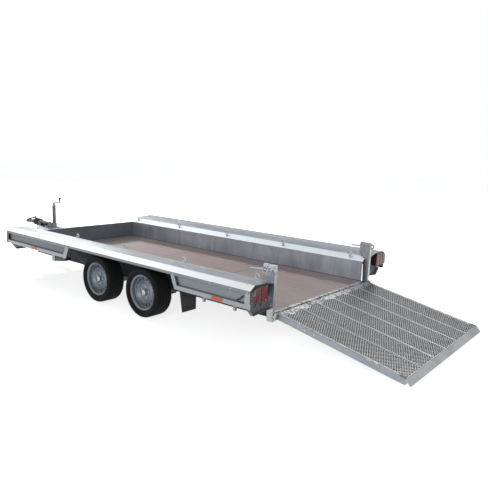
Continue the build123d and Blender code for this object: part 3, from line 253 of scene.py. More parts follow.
def profile_zinc(name):
    """Side profile: streaked top, paler outer edge as a painted highlight, slope and drip-streaked
    inner wall brighter and bluer as a painted sky reflection, darker lip, painted shade underneath and
    on the wheel side.
    """
    g = Graph(name)
    cells = g.voronoi(46, "Distance")
    runs = g.noise(1.0, 6, 0.62, g.stretch(1.1, 8, 8), 0.3)
    scrape = g.noise(1.0, 5, 0.65, g.stretch(5.0, 38, 38, (0, 0, 0.12)))
    drips = g.span(g.noise(1.0, 6, 0.6, g.stretch(5.5, 1.0, 1.6), 0.5), 0.0, 1.0, 0.30, 0.68)
    fine = g.noise(170, 3, 0.6)
    tone = g.add(g.times(cells, 0.2), g.times(runs, 0.8))
    y, z, facing = g.axis("Y"), g.axis("Z"), g.facing()
    off_middle = g.size(y)
    outward = g.times(facing["Y"], g.math("SIGN", y))

    base = g.mix(g.span(tone, 0, 1, 0.28, 0.68), (0.16, 0.19, 0.225), (0.40, 0.435, 0.47))
    inboard_of_painted_highlight = g.span(off_middle, 1.0, 0.0, 1.190, 1.200)
    base = g.mix(g.times(g.span(scrape, 0, 0.75, 0.58, 0.70), inboard_of_painted_highlight), base, (0.74, 0.76, 0.78))
    # Outboard of that line the edge is paler: a painted highlight.
    base = g.mix(inboard_of_painted_highlight, g.mix(tone, (0.60, 0.62, 0.64), (0.84, 0.85, 0.86)), base)
    # The wall's inner face: drips in a lighter, bluer tone, which is a painted sky reflection.
    wall = g.times(g.span(outward, 0.0, 1.0, -0.3, -0.8), g.span(z, 1.0, 0.0, 0.497, 0.505))
    base = g.mix(wall, base, g.mix(drips, (0.36, 0.395, 0.45), (0.60, 0.64, 0.70)))
    # The slope up to the ridge: brighter and bluer, a painted sky reflection.
    slope = g.times(g.span(off_middle, 1.0, 0.0, 0.893, 0.897), g.span(z, 0.0, 1.0, 0.505, 0.509))
    base = g.mix(slope, base, g.mix(tone, (0.56, 0.62, 0.68), (0.86, 0.91, 0.96)))
    lip = g.times(g.span(off_middle, 0.0, 1.0, 1.240, 1.246), g.span(z, 1.0, 0.0, 0.551, 0.5545))
    base = g.mix(lip, base, g.mix(tone, (0.13, 0.145, 0.16), (0.27, 0.29, 0.31)))

    # Painted shade, near black, on the wall's wheel side and on faces turned down.
    wheel_side = g.times(g.span(outward, 0.0, 1.0, 0.3, 0.8), g.span(off_middle, 1.0, 0.0, 0.86, 0.90))
    painted_shade = g.math("MAXIMUM", wheel_side, g.span(facing["Z"], 0.0, 1.0, -0.3, -0.7))
    painted_shade_colour = g.mix(tone, (0.022, 0.024, 0.028), (0.06, 0.062, 0.068))
    roughness = g.math("MAXIMUM", g.span(tone, 0.36, 0.50, 0.3, 0.7), g.times(painted_shade, 0.75))
    bump = (g.add(fine, g.times(scrape, 0.6)), 0.14, 0.0007)
    return g.done(g.mix(painted_shade, base, painted_shade_colour), roughness, bump, g.span(painted_shade, 0.86, 0.1))


def skirt_zinc(name, border, panel):
    """Side skirt: folded borders round a sheet set back in the recess, which is painted darker there as
    shade.
    """
    g = Graph(name)
    cells = g.voronoi(55, "Distance")
    runs = g.noise(1.0, 5, 0.6, g.stretch(1.6, 9, 9))
    fine = g.noise(160, 3, 0.6)
    tone = g.add(g.times(cells, 0.3), g.times(runs, 0.7))
    back = g.span(g.size(g.axis("Y")), 1.0, 0.0, 1.232, 1.238)
    painted_recess_shade = g.times(back, g.span(g.axis("Z"), 1.0, 0.0, 0.520, 0.528))
    # The sheet in the recess takes the darker tones: painted shade.
    base = g.mix(painted_recess_shade, g.mix(tone, *border), g.mix(tone, *panel))
    return g.done(base, g.span(runs, 0.3, 0.5, 0.3, 0.7), (fine, 0.12, 0.0006), 0.8)


def lamp_red(name):
    """Combination lamp: a smooth dark red inner part and a crazed, pale outer part."""
    g = Graph(name)
    dark, red = (0.10, 0.006, 0.008), (0.30, 0.015, 0.015)
    brown, pale = (0.10, 0.02, 0.022), (0.42, 0.24, 0.24)
    cell = g.grey(g.voronoi(150, "Color"))
    spot = g.ramp(cell, (0.0, dark), (0.45, red), (0.62, brown), (0.85, pale))
    veil = g.noise(14, 4, 0.6)
    crazed = g.mix(g.span(veil, 0.0, 0.75, 0.45, 0.68), spot, (0.20, 0.12, 0.125))
    outer = g.span(g.size(g.axis("Y")), 0.0, 1.0, 1.115, 1.125)
    smooth = g.mix(g.span(veil, 0, 1, 0.3, 0.7), (0.22, 0.006, 0.008), (0.36, 0.012, 0.012))
    bump = (g.voronoi(150, "Distance"), 0.3, 0.0008)
    return g.done(g.mix(outer, smooth, crazed), 0.3, bump, Coat_Weight=0.25, Coat_Roughness=0.08)


ZINC = galvanised("zinc", (0.20, 0.22, 0.245), (0.46, 0.485, 0.51), (0.30, 0.50), 62, 0.85)
# The front wall gets a darker copy of the zinc: painted shade.
ZINC_FRONT_SHADED = galvanised("zinc_front_shaded", (0.12, 0.13, 0.155), (0.24, 0.255, 0.285), (0.4, 0.6), 40, 0.75)
ZINC_WING = profile_zinc("zinc_wing")
ZINC_WORN = worn_zinc("zinc_worn", 0.40, 0.53)
ZINC_RAIL = worn_zinc("zinc_rail", 0.34, 0.60)
ZINC_TOE = galvanised(
    "zinc_toe", (0.24, 0.26, 0.28), (0.58, 0.60, 0.62), (0.28, 0.46), 40, 0.85, (5.0, 2.0, 5.0)
)
ZINC_EDGE = plain_metal("zinc_edge", (0.86, 0.87, 0.88), 0.32, 0.92, 0.08, 40)
# Dull, darker zinc; on the parts under the trailer and the wings its darkness is painted shade.
ZINC_DULL_AND_SHADE = galvanised("zinc_dull_and_shade", (0.12, 0.13, 0.14), (0.28, 0.295, 0.31), (0.48, 0.64), 55, 0.6)
ZINC_BRIGHT = galvanised("zinc_bright", (0.36, 0.38, 0.40), (0.66, 0.68, 0.70), (0.24, 0.4), 55, 0.85)
ZINC_MESH = strand_zinc("zinc_mesh")
# The front skirt's sheet is darker than the rear one's: a painted dark reflection.
ZINC_SKIRT_FRONT = skirt_zinc(
    "zinc_skirt_front",
    ((0.20, 0.22, 0.24), (0.40, 0.42, 0.44)),
    ((0.08, 0.09, 0.10), (0.18, 0.195, 0.21)),
)
ZINC_SKIRT_REAR = skirt_zinc(
    "zinc_skirt_rear",
    ((0.20, 0.22, 0.24), (0.42, 0.445, 0.47)),
    ((0.10, 0.115, 0.13), (0.30, 0.32, 0.34)),
)
PLY = phenolic_ply("phenolic_ply")
# Dark seams and sealant, and the painted shade inside the ramp rail's holes.
SEAM_AND_SHADE = plain_metal("floor_seam_and_hole_shade", (0.08, 0.062, 0.058), 0.7, 0.0, 0.2, 40)
TYRE = rubber("tyre_rubber", (0.005, 0.0055, 0.0065), 0.8, (0.016, 0.016, 0.017), 0.5)
TYRE.node_tree.nodes["Principled BSDF"].inputs["Specular IOR Level"].default_value = 0.25
RUBBER = rubber("black_rubber", (0.012, 0.012, 0.013), 0.5, (0.035, 0.035, 0.035), 0.4)
PLASTIC = rubber("black_plastic", (0.012, 0.012, 0.013), 0.36, (0.04, 0.04, 0.04), 0.3)
SILVER = plain_metal("wheel_silver", (0.225, 0.255, 0.295), 0.36, 0.35, 0.1, 12)
CHROME = plain_metal("plated_steel", (0.50, 0.52, 0.55), 0.24, 0.92, 0.1, 30)
CAST = plain_metal("cast_steel", (0.22, 0.235, 0.25), 0.5, 0.6, 0.16, 14)
BLACK_CAST = plain_metal("black_cast", (0.030, 0.031, 0.034), 0.42, 0.3, 0.2, 18)
DRUM = plain_metal("brake_drum", (0.035, 0.036, 0.038), 0.6, 0.4, 0.2, 14)
RED = lamp_red("red_lens")
AMBER = lens("amber_lens", (0.86, 0.14, 0.004), 0.3)
CLEAR = lens("clear_lens", (0.34, 0.26, 0.27), 0.16)
BLUE = rubber("blue_plastic", (0.012, 0.035, 0.30), 0.4, (0.03, 0.06, 0.34), 0.3)
WELD = plain_metal("weld_bead", (0.42, 0.43, 0.45), 0.42, 0.8, 0.18, 60)

SLOT_MATERIAL = {
    "galvanised_steel": ZINC,
    "plywood": PLY,
    "tyre_rubber": TYRE,
    "wheel_paint": SILVER,
    "cast_steel": CAST,
    "black_plastic": PLASTIC,
    "black_rubber": RUBBER,
    "blue_plastic": BLUE,
    "red_lens": RED,
    "amber_lens": AMBER,
}
# Nodes whose names start like this have a tone of their own; the darker zinc of the parts under the
# trailer and of the front wall is painted shade.
OWN_MATERIAL = (
    (DRUM, ("drum_",)),
    (ZINC_DULL_AND_SHADE, ("chassis_beam", "cross_members", "wing_webs", "axle_", "jockey_inner")),
    (ZINC_DULL_AND_SHADE, ("jockey_tube", "jockey_crank", "jockey_clamp", "jockey_fork")),
    (ZINC_WING, ("side_profile",)),
    (ZINC_TOE, ("ramp_toe",)),
    (ZINC_SKIRT_REAR, ("skirt_rear",)),
    (ZINC_SKIRT_FRONT, ("skirt_front",)),
    (ZINC_BRIGHT, ("rear_post", "ramp_rib", "ramp_latches", "lashing")),
    (ZINC_WORN, ("rear_sill", "ramp_hinge_tubes", "hinge_lugs")),
    (ZINC_FRONT_SHADED, ("front_wall",)),
    (BLACK_CAST, ("coupling_head",)),
)
slot_of = {part["node"]: part["material_slot"] for part in frame["record"]["subparts"]}
for node_name, node in NODES.items():
    own = [material for material, starts in OWN_MATERIAL if node_name.startswith(starts)]
    node.data.materials.clear()
    node.data.materials.append(own[0] if own else SLOT_MATERIAL[slot_of[node_name]])

# ---- shapes


def square_to(axis):
    """Two directions square to an axis and to each other."""
    side = axis.orthogonal().normalized()
    return side, axis.cross(side)


def mm(*points):
    """Points of an outline, turned from millimetres to metres."""
    return [tuple(v / 1000 for v in point) for point in points]


def circle(centre, side, other, radius, sides, twist=0.0):
    angles = (TURN * i / sides + twist for i in range(sides))
    return [centre + radius * (math.cos(a) * side + math.sin(a) * other) for a in angles]


class Shape:
    """One mesh piece being built. All its calls take deck measures in metres."""

    def __init__(self, name, body="trailer", slot="galvanised_steel"):
        self.name, self.body, self.slot = name, body, slot
        self.bm = bmesh.new()
        self.materials = []
        self.index = 0

    def use(self, material):
        if material not in self.materials:
            self.materials.append(material)
        self.index = self.materials.index(material)
        return self

    def face(self, verts):
        self.bm.faces.new(verts).material_index = self.index

    def skin(self, rings, caps=True, around=False):
        """Joins rings of points into a skin, with flat ends or all the way around."""
        loops = [[self.bm.verts.new(p) for p in points] for points in rings]
        for low, high in zip(loops, loops[1:] + loops[:1] if around else loops[1:]):
            for i, corner in enumerate(low):
                j = (i + 1) % len(low)
                self.face([corner, low[j], high[j], high[i]])
        if caps and not around:
            self.face(loops[0][::-1])
            self.face(loops[-1])

    def box(self, low, high, place=deck_at):
        (x0, x1), (y0, y1), (z0, z1) = (sorted(pair) for pair in zip(low, high))
        corners = ((x0, y0), (x1, y0), (x1, y1), (x0, y1))
        self.skin([[place((x, y, z)) for x, y in corners] for z in (z0, z1)])

    def prism(self, outline, x0, x1):
        """An outline of (y, z) drawn out along the trailer."""
        self.skin([[at(x, y, z) for y, z in outline] for x in (x0, x1)])

    def rod(self, start, end, radius, sides=12, radius_end=None, place=deck_at):
        start, end = place(start), place(end)
        side, other = square_to((end - start).normalized())
        ends = ((start, radius), (end, radius if radius_end is None else radius_end))
        self.skin([circle(point, side, other, r, sides) for point, r in ends])

    def turned(self, base, axis, profile, sides=24, caps=True):
        """A profile of (radius, distance) turned about an axis that starts at a point."""
        base, axis = at(*base), Vector(axis).normalized()
        side, other = square_to(axis)
        rings = [circle(base + d * axis, side, other, max(r, 1e-5), sides) for r, d in profile]
        self.skin(rings, caps)

    def bolt(self, point, axis, size=0.008, washer=True):
        """A hexagon head on a washer, and a small round for the thread's end."""
        base, axis = at(*point), Vector(axis).normalized()
        side, other = square_to(axis)

        def stack(sides, twist, *steps):
            self.skin([circle(base + d * axis, side, other, r, sides, twist) for r, d in steps])

        start = 0.0
        if washer:
            start = 0.0018
            stack(16, 0.0, (1.55 * size, 0.0), (1.5 * size, start))
        top = start + 0.75 * size
        stack(6, twist_of(point), (size, start), (size, top - 0.001), (0.84 * size, top))
        stack(10, 0.0, (0.42 * size, top), (0.36 * size, top + 0.3 * size))

    def tube(self, points, radius, sides=8, closed=False):
        """A round wire that follows points."""
        points = [at(*p) for p in points]
        last = len(points) - 1
        rings, side = [], None
        for i, point in enumerate(points):
            if closed:
                ahead = points[(i + 1) % len(points)] - points[i - 1]
            else:
                ahead = points[min(i + 1, last)] - points[max(i - 1, 0)]
            ahead.normalize()
            side = ahead.orthogonal() if side is None else side - side.dot(ahead) * ahead
            side.normalize()
            rings.append(circle(point, side, ahead.cross(side), radius, sides))
        self.skin(rings, around=closed)

    def hoop(self, centre, axes, radius, wire, count, sides=6):
        """A closed ring of wire; axes names the two axes that it lies in."""
        points = []
        for k in range(count):
            a, point = TURN * k / count, list(centre)
            point[axes[0]] += radius * math.cos(a)
            point[axes[1]] += radius * math.sin(a)
            points.append(point)
        self.tube(points, wire, sides, True)

    def dome(self, point, axis, radius, height, sides=10):
        steps = ((1, 0), (0.86, 0.55), (0.5, 0.9), (0, 1))
        self.turned(point, axis, [(r * radius, d * height) for r, d in steps], sides)

    def bead(self, start, end, radius=0.003, place=deck_at):
        """A weld: a line of small lumps."""
        a, b = place(start), place(end)
        count = max(3, int((b - a).length / (1.3 * radius)))
        side, other = square_to((b - a).normalized())
        lumps = (radius * (0.72 + 0.28 * (i % 2)) for i in range(count + 1))
        self.skin([circle(a + (b - a) * i / count, side, other, r, 6) for i, r in enumerate(lumps)])

    def finish(self, *replaced, sharp=32.0, bevel=0.0):
        """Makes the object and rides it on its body."""
        self.bm.normal_update()
        bmesh.ops.recalc_face_normals(self.bm, faces=self.bm.faces)
        limit = math.radians(sharp)
        for edge in self.bm.edges:
            edge.smooth = len(edge.link_faces) == 2 and edge.calc_face_angle(0.0) < limit
        for face in self.bm.faces:
            face.smooth = True
        mesh = bpy.data.meshes.new(self.name)
        self.bm.to_mesh(mesh)
        self.bm.free()
        for material in self.materials:
            mesh.materials.append(material)
        made = bpy.data.objects.new(self.name, mesh)
        scene.collection.objects.link(made)
        if bevel:
            edges = made.modifiers.new("edges", "BEVEL")
            edges.width = bevel
            edges.segments = 2
            edges.limit_method = "ANGLE"
            edges.angle_limit = math.radians(40)
        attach(made, self.body)
        if replaced:
            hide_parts(*replaced)


def twist_of(point):
    """How far a bolt's head is turned, different from place to place."""
    x, y, z = point
    return 0.4 * (int(abs(x * 7919 + y * 104729 + z * 1299709) * 10) % 3)


SIDES = (("left", 1), ("right", -1))
SIGNS = (1, -1)

# Sizes shared with the solids, in metres
DECK_LENGTH, HALF_DECK, DECK_TOP = 4.090, 0.825, 0.283
WALL_TOP, RIDGE_Y, RIDGE_Z = 0.504, 0.895, 0.561
CREASE_Y, CREASE_Z = 1.030, 0.590
WING_Y, WING_Z, LIP_Y = 1.197, 0.593, 1.256
SILL_Y = 1.250
HINGE_X, HINGE_Z = -0.060, 0.262
RAMP_ANGLE = math.radians(10.802)
RAIL_HALF, RAIL_WIDTH, RAMP_LENGTH = 0.872, 0.034, 1.230
WHEEL_Y, TYRE_RADIUS, TYRE_HALF = 1.148, 0.254, 0.102
AXLES = {"rear": 1.350, "front": 2.115}

# ---- ramp

RIB_COUNT, RIB_WIDTH = 5, 0.008
RAIL_IN = RAIL_HALF - RAIL_WIDTH
RIB_MIDS = [RAIL_IN * (2 * (i + 1) / (RIB_COUNT + 1) - 1) for i in range(RIB_COUNT)]
PANEL_TOP = 0.020
STRAND_PITCH, DIAMOND_LONG = 0.0110, 0.046
STRAND_WIDE, STRAND_LEAN = 0.0034, 0.0011
STRAND_TOP, STRAND_FOOT = PANEL_TOP - 0.0004, PANEL_TOP - 0.0094
LUG_Y, LUG_GAP = 0.290, 0.024


def ramp_at(p):
    """A point of the ramp: u from the hinge to the toe, y, and w up from the hinge."""
    u, y, w = p
    x = HINGE_X - u * math.cos(RAMP_ANGLE) - w * math.sin(RAMP_ANGLE)
    z = HINGE_Z - u * math.sin(RAMP_ANGLE) + w * math.cos(RAMP_ANGLE)
    return at(x, y, z)


def expanded_panels():
    """Zigzag strands that meet at their bends between the ramp's ribs, in thin frames."""
    made = Shape("ramp_expanded_metal", "ramp").use(ZINC_MESH)
    rib_edges = [mid + side * RIB_WIDTH / 2 for mid in RIB_MIDS for side in (-1, 1)]
    edges = [-RAIL_IN, *rib_edges, RAIL_IN]
    panels = list(zip(edges[::2], edges[1::2]))
    start, end = 0.030, RAMP_LENGTH - 0.004
    rows = int((end - start) / STRAND_PITCH)
    pitch = (end - start) / rows
    sway = (pitch - STRAND_WIDE) / 2
    half, lean, foot, top = STRAND_WIDE / 2, STRAND_LEAN, STRAND_FOOT, STRAND_TOP
    section = ((lean - half, foot), (lean + half, foot), (half - lean, top), (-half - lean, top))
    for low, high in panels:
        steps = max(2, round((high - low) / (DIAMOND_LONG / 2)))
        dy = (high - low) / steps
        for row in range(rows):
            rings = []
            for i in range(steps + 1):
                u = start + (row + 0.5) * pitch + sway * (-1) ** (i + row)
                rings.append([ramp_at((u + du, low + i * dy, w)) for du, w in section])
            made.skin(rings, caps=False)
    made.use(ZINC_BRIGHT)
    for u0, u1 in ((0.024, 0.032), (RAMP_LENGTH - 0.010, RAMP_LENGTH - 0.002)):
        for low, high in panels:
            made.box((u0, low, PANEL_TOP - 0.005), (u1, high, PANEL_TOP), ramp_at)
    made.finish("ramp_mesh", sharp=25)


def ramp_fittings():
    """Wear strips along ribs and rails, a hinge cover in three parts, dark discs in the rail holes as
    painted shade, and welds.
    """
    made = Shape("ramp_fittings", "ramp").use(ZINC_BRIGHT).use(ZINC_WORN)

    def strip(u0, u1, y0, y1, rise, sunk=0.001):
        made.box((u0, y0, PANEL_TOP - sunk), (u1, y1, PANEL_TOP + rise), ramp_at)

    near, far, end = LUG_Y - LUG_GAP, LUG_Y + LUG_GAP, RAMP_LENGTH - 0.004
    for low, high in ((-RAIL_IN + 0.008, -far), (-near, near), (far, RAIL_IN - 0.008)):
        strip(0.014, 0.060, low, high, 0.0010, 0.0015)
    for k in range(7):
        y = -0.72 + 0.24 * k
        strip(0.060, 0.078, y - 0.030, y + 0.030, 0.0012)
    made.use(ZINC_BRIGHT)
    *narrow_ribs, broad_rib = RIB_MIDS
    for low, high in ((-0.013, -0.009), (0.009, 0.013)):
        strip(0.060, end, broad_rib + low, broad_rib + high, 0.002)
    made.use(ZINC_DULL_AND_SHADE)
    strip(0.060, end, broad_rib - 0.009, broad_rib + 0.009, 0.0004)
    for s in SIGNS:
        strip(RAMP_LENGTH - 0.060, end, s * (RAIL_HALF - 0.030), s * RAIL_HALF, 0.003, 0.0)
    made.use(ZINC_EDGE)
    for mid in narrow_ribs:
        strip(0.036, RAMP_LENGTH - 0.006, mid - 0.007, mid + 0.007, 0.0020)
    for s in SIGNS:
        strip(0.040, RAMP_LENGTH - 0.064, s * (RAIL_IN + 0.001), s * (RAIL_IN + 0.007), 0.0016)
    made.use(ZINC_RAIL)
    for s in SIGNS:
        strip(0.040, RAMP_LENGTH - 0.064, s * (RAIL_IN + 0.009), s * (RAIL_HALF - 0.003), 0.0009)
    # Dark discs inside the rail's holes: painted shade.
    made.use(SEAM_AND_SHADE)
    for s in SIGNS:
        y = s * (RAIL_IN + RAIL_WIDTH / 2)
        for u in (0.302, 0.398):
            made.rod((u, y - 0.002, -0.004), (u, y + 0.002, -0.004), 0.0069, 16, place=ramp_at)
    made.use(WELD)
    top = PANEL_TOP + 0.001
    for mid in RIB_MIDS:
        for k in range(4):
            u = 0.024 + (k + 0.5) * (RAMP_LENGTH - 0.024) / 4
            for d in (-0.005, 0.005):
                made.bead((u - 0.012, mid + d, -0.017), (u + 0.012, mid + d, -0.017), 0.0028, ramp_at)
        for u, half in ((end, 0.006), (0.027, 0.007)):
            made.bead((u, mid - half, top), (u, mid + half, top), 0.003, ramp_at)
    made.finish(bevel=0.0006)


expanded_panels()
ramp_fittings()

# ---- tyres and wheels

TREAD_STEPS = 216
SIPE_DEPTH, CUT_DEPTH, SHOULDER_SKEW = 0.0055, 0.004, 0.010
VENT_COUNT, VENT_CIRCLE = 16, 0.135
BOLT_COUNT, BOLT_CIRCLE, FIRST_BOLT = 5, 0.056, 0.5
VALVE_ANGLE, WEIGHT_ANGLE, WEIGHT_CIRCLE = 2.2, 5.1, 0.1795


def tyre(end, side_name, s):
    """A tyre with four rain grooves, shoulder sipes, fine cuts and stepped side walls."""
    name = f"tyre_{end}_{side_name}"
    made = Shape(name + "_dressed", f"wheel_{end}_{side_name}", "tyre_rubber").use(TYRE)
    crown = TYRE_RADIUS
    centre = at(AXLES[end], s * WHEEL_Y, crown)
    bead = mm((172, 0), (172, 56), (166.5, 62), (166.8, 69.5))
    wall = mm(
        (183.5, 79.5), (187.5, 83.5), (190.5, 84.5), (194, 89.5), (195.5, 92), (199, 92.5), (204, 97.5),
        (206, 99.5), (210, 100.8), (211.5, 102), (224, 102), (225.5, 100.8), (233, 99.5), (240, 97),
    )
    shoulder = mm((246.5, 93.5), (250.5, 88), (252.8, 80))
    tread = mm(
        (253.4, 66), (247, 65.5), (247, 58.5), (253.7, 58),
        (254, 40), (254, 24.5), (247, 24), (247, 16.5), (254, 16), (254, 0),
    )
    profile = bead + wall + shoulder + tread
    profile += [(r, -d) for r, d in profile[::-1] if d > 0.0001]
    rings = []
    for k in range(TREAD_STEPS):
        ring = []
        for r, d in profile:
            depth = 0.0
            if k % 3 == 0 and abs(d) > 0.067 and r > crown - 0.016:
                depth = SIPE_DEPTH
            if k % 6 == 0 and 0.026 < abs(d) < 0.057 and r > crown - 0.003:
                depth = CUT_DEPTH
            skew = SHOULDER_SKEW * (d / TYRE_HALF) if r > crown - 0.02 else 0.0
            a = TURN * k / TREAD_STEPS + skew
            ring.append(centre + Vector(((r - depth) * math.cos(a), s * d, (r - depth) * math.sin(a))))
        rings.append(ring)
    made.skin(rings, around=True)
    made.finish(name, sharp=38)


def wheel_trim(end, side_name, s):
    """Wheel bolts with conical seats, hub cap, the brake's back plate, black discs in the vents as
    painted shade, valve and a balance weight.
    """
    made = Shape(f"wheel_trim_{end}_{side_name}", f"wheel_{end}_{side_name}", "wheel_paint").use(CHROME)
    out = (0, s, 0)

    def spot(radius, angle, d):
        x = AXLES[end] + radius * math.cos(angle)
        return (x, s * (WHEEL_Y + d), TYRE_RADIUS + radius * math.sin(angle))

    cap = mm((28.5, 0), (29.5, 4), (28.5, 8), (28.5, 26), (27, 31), (22.5, 34.5), (12, 36.5), (0, 37))
    made.turned(spot(0, 0, 0.033), out, cap, 36)
    seat = mm((12.5, 0), (12.2, 3), (10.4, 6), (10.4, 7))
    for i in range(BOLT_COUNT):
        a = TURN * i / BOLT_COUNT + FIRST_BOLT
        made.turned(spot(BOLT_CIRCLE, a, 0.035), out, seat, 20)
        made.bolt(spot(BOLT_CIRCLE, a, 0.041), out, 0.0092, False)
    made.use(SILVER)
    made.turned(spot(0, 0, 0.0352), out, mm((78, 0), (80, 1.6), (76, 3), (73, 1.2)), 48, False)
    # The brake's back plate; its darkness behind the vents is also painted shade.
    made.use(DRUM)
    back_plate = mm((110, 0), (158, 0), (158, 2.5), (110, 2.5), (110, 0))
    made.turned(spot(0, 0, 0.017), out, back_plate, 48, False)
    # Black discs in the vents: painted shade.
    made.use(TYRE)
    for i in range(VENT_COUNT):
        a = TURN * (i + 0.5) / VENT_COUNT
        made.turned(spot(VENT_CIRCLE, a, 0.0355), out, mm((10.7, 0), (10.7, 3)), 16)
    valve = ((0.150, 0.030), (0.143, 0.062), (0.1405, 0.072))
    foot, neck, tip = (spot(r, VALVE_ANGLE, d) for r, d in valve)
    made.use(RUBBER)
    made.rod(foot, neck, 0.0052, 10, 0.0046)
    made.use(CHROME)
    made.rod(neck, tip, 0.0040, 10)
    weight = [spot(WEIGHT_CIRCLE, WEIGHT_ANGLE + 0.02 * k, 0.0795) for k in range(-4, 5)]
    made.tube(weight, 0.0042, 6)
    made.finish(sharp=34)


for end in AXLES:
    for side_name, s in SIDES:
        tyre(end, side_name, s)
        wheel_trim(end, side_name, s)

# ---- load floor, walls and skirts


def floor_fittings():
    """Sheet joints, screws over the cross members and sealant along the walls."""
    made = Shape("floor_fittings", slot="plywood").use(SEAM_AND_SHADE)

    def strip(x0, x1, y0, y1, rise):
        made.box((x0, y0, DECK_TOP - 0.001), (x1, y1, DECK_TOP + rise))

    half, length = HALF_DECK, DECK_LENGTH
    for x in (1.235, 2.475):
        strip(x - 0.002, x + 0.002, 0.004 - half, half - 0.004, 0.0006)
    for s in (-1, 1):
        strip(0.002, length - 0.002, s * (half - 0.0005), s * (half - 0.006), 0.004)
    strip(length - 0.007, length - 0.001, 0.006 - half, half - 0.006, 0.004)
    made.use(CHROME)
    rows = [0.330 + i * (length - 0.660) / 6 for i in range(7)]
    screws = [(x, -0.72 + 0.24 * k) for x in rows for k in range(7)]
    screws += [(0.022, -0.74 + 0.185 * k) for k in range(9)]
    head = mm((7.2, 0), (6.8, 0.9), (3.6, 0.9), (3, 0.3))
    for x, y in screws:
        made.turned((x, y, DECK_TOP), (0, 0, 1), head, 12)
    made.finish()


def wing_top(y):
    """Height of the wing at a distance from the middle."""
    if y < CREASE_Y:
        return RIDGE_Z + (y - RIDGE_Y) / (CREASE_Y - RIDGE_Y) * (CREASE_Z - RIDGE_Z)
    return CREASE_Z + (y - CREASE_Y) / (WING_Y - CREASE_Y) * (WING_Z - CREASE_Z)


def wing_fittings():
    """Rivets of the wings and skirts, bolts of the walls and feet of the lashing rings."""
    made = Shape("wing_fittings").use(ZINC_BRIGHT)
    front = DECK_LENGTH + 0.003
    bolts = mm(
        (860, 420), (860, 500), (1000, 460), (1120, 520), (1200, 460), (1200, 410), (1020, 560)
    )
    for s in SIGNS:
        out = (0, s, 0)
        for x in (-0.030, 0.16, 0.40, 0.64, 0.88, 2.68, 2.93, 3.18, 3.43, 3.68, 3.93, 4.06):
            made.dome((x, s * (LIP_Y - 0.0004), 0.536), out, 0.0055, 0.0012)
        for x in (0.81, 2.735, 4.064):
            for y in (0.935, 0.985, 1.075, 1.150):
                made.dome((x, s * y, wing_top(y) - 0.0003), (0, 0, 1), 0.0065, 0.0035)
        for x in (0.05, 0.60, 3.05, 3.60, 4.02):
            made.dome((x, s * SILL_Y, 0.405), out, 0.005, 0.003)
        for x in (0.20, 0.75, 1.30, 1.85, 2.40, 2.95, 3.50, 4.0):
            made.bolt((x, s * (HALF_DECK + 0.003), 0.240), out)
        for y, z in bolts:
            made.bolt((front, s * y, z), (1, 0, 0))
    for y in (-0.7, -0.35, 0.0, 0.35, 0.7):
        made.bolt((front, y, 0.31), (1, 0, 0))
    slope = Vector((0, -(RIDGE_Z - WALL_TOP), RIDGE_Y - HALF_DECK)).normalized()
    foot = mm((16.5, 0), (16.5, 2), (13.5, 2.2), (13, 8.5), (10, 9.5))
    for s in (-1, 1):
        normal = Vector((0, s * slope.y, slope.z))
        for i in range(5):
            x = 0.182 + i * (DECK_LENGTH - 0.272) / 4
            made.turned(Vector((x, s * 0.862, 0.534)) + 0.0006 * normal, normal, foot, 12)
    made.finish()


floor_fittings()
wing_fittings()

# ---- lamps and reflectors

LENS_X = -0.072


def lamp_fittings():
    """Rims, brows, covers and ribs of the lamps, and the leads that hang below them."""
    made = Shape("lamp_fittings", slot="red_lens")
    rim = mm((1253, 440), (1253, 551), (1199, 589), (1024, 586))
    brow = mm((1028, 570), (1192, 573), (1244, 541), (1252.5, 546), (1197, 588), (1028, 585))
    cover = mm((928, 448), (1026, 448), (1026, 568), (990, 575), (928, 560))
    patch = mm((1196, 504), (1246, 502), (1246, 545), (1208, 568), (1196, 570))
    cable = mm(
        (8, 1229, 492), (25, 1233, 494), (45, 1236, 484),
        (62, 1237, 466), (85, 1236, 452), (104, 1229, 448),
    )
    for s in SIGNS:
        made.use(PLASTIC)
        made.tube([(-0.0655, s * y, z) for y, z in rim], 0.0035, 6)
        made.prism([(s * y, z) for y, z in brow], LENS_X + 0.002, LENS_X - 0.0035)
        made.prism([(s * y, z) for y, z in cover], 0.012, -0.008)
        made.use(CLEAR)
        made.prism([(s * y, z) for y, z in patch], LENS_X + 0.001, LENS_X - 0.0018)
        made.use(RED)
        for y in (1.120, 1.185):
            made.box((LENS_X - 0.0026, s * y - 0.0012, 0.446), (LENS_X + 0.001, s * y + 0.0012, 0.572))
        made.box((LENS_X - 0.0024, s * 1.121, 0.4892), (LENS_X + 0.001, s * 1.248, 0.4914))
        made.use(CHROME)
        for y, z in ((1.058, 0.450), (1.240, 0.452), (1.058, 0.566)):
            made.dome((LENS_X, s * y, z), (-1, 0, 0), 0.0042, 0.0022, 8)
        made.use(RUBBER)
        for y0, y1 in ((1.078, 1.112), (1.066, 1.022)):
            line = []
            for i in range(13):
                t = i / 12
                wave = 0.012 * math.sin(math.pi * min(1.0, 2.2 * t)) * (1 - t)
                y, z = y0 + (y1 - y0) * t ** 0.6, 0.440 + wave - 0.068 * t ** 1.7
                line.append((-0.030 + 0.038 * t, s * y, z))
            made.tube(line, 0.0032, 8)
        line = []
        for a, b in zip(cable, cable[1:]):
            line += [tuple(p + (q - p) * k / 4 for p, q in zip(a, b)) for k in range(4)]
        made.tube([(x, s * y, z) for x, y, z in (*line, cable[-1])], 0.006, 8)
    made.finish(sharp=34)


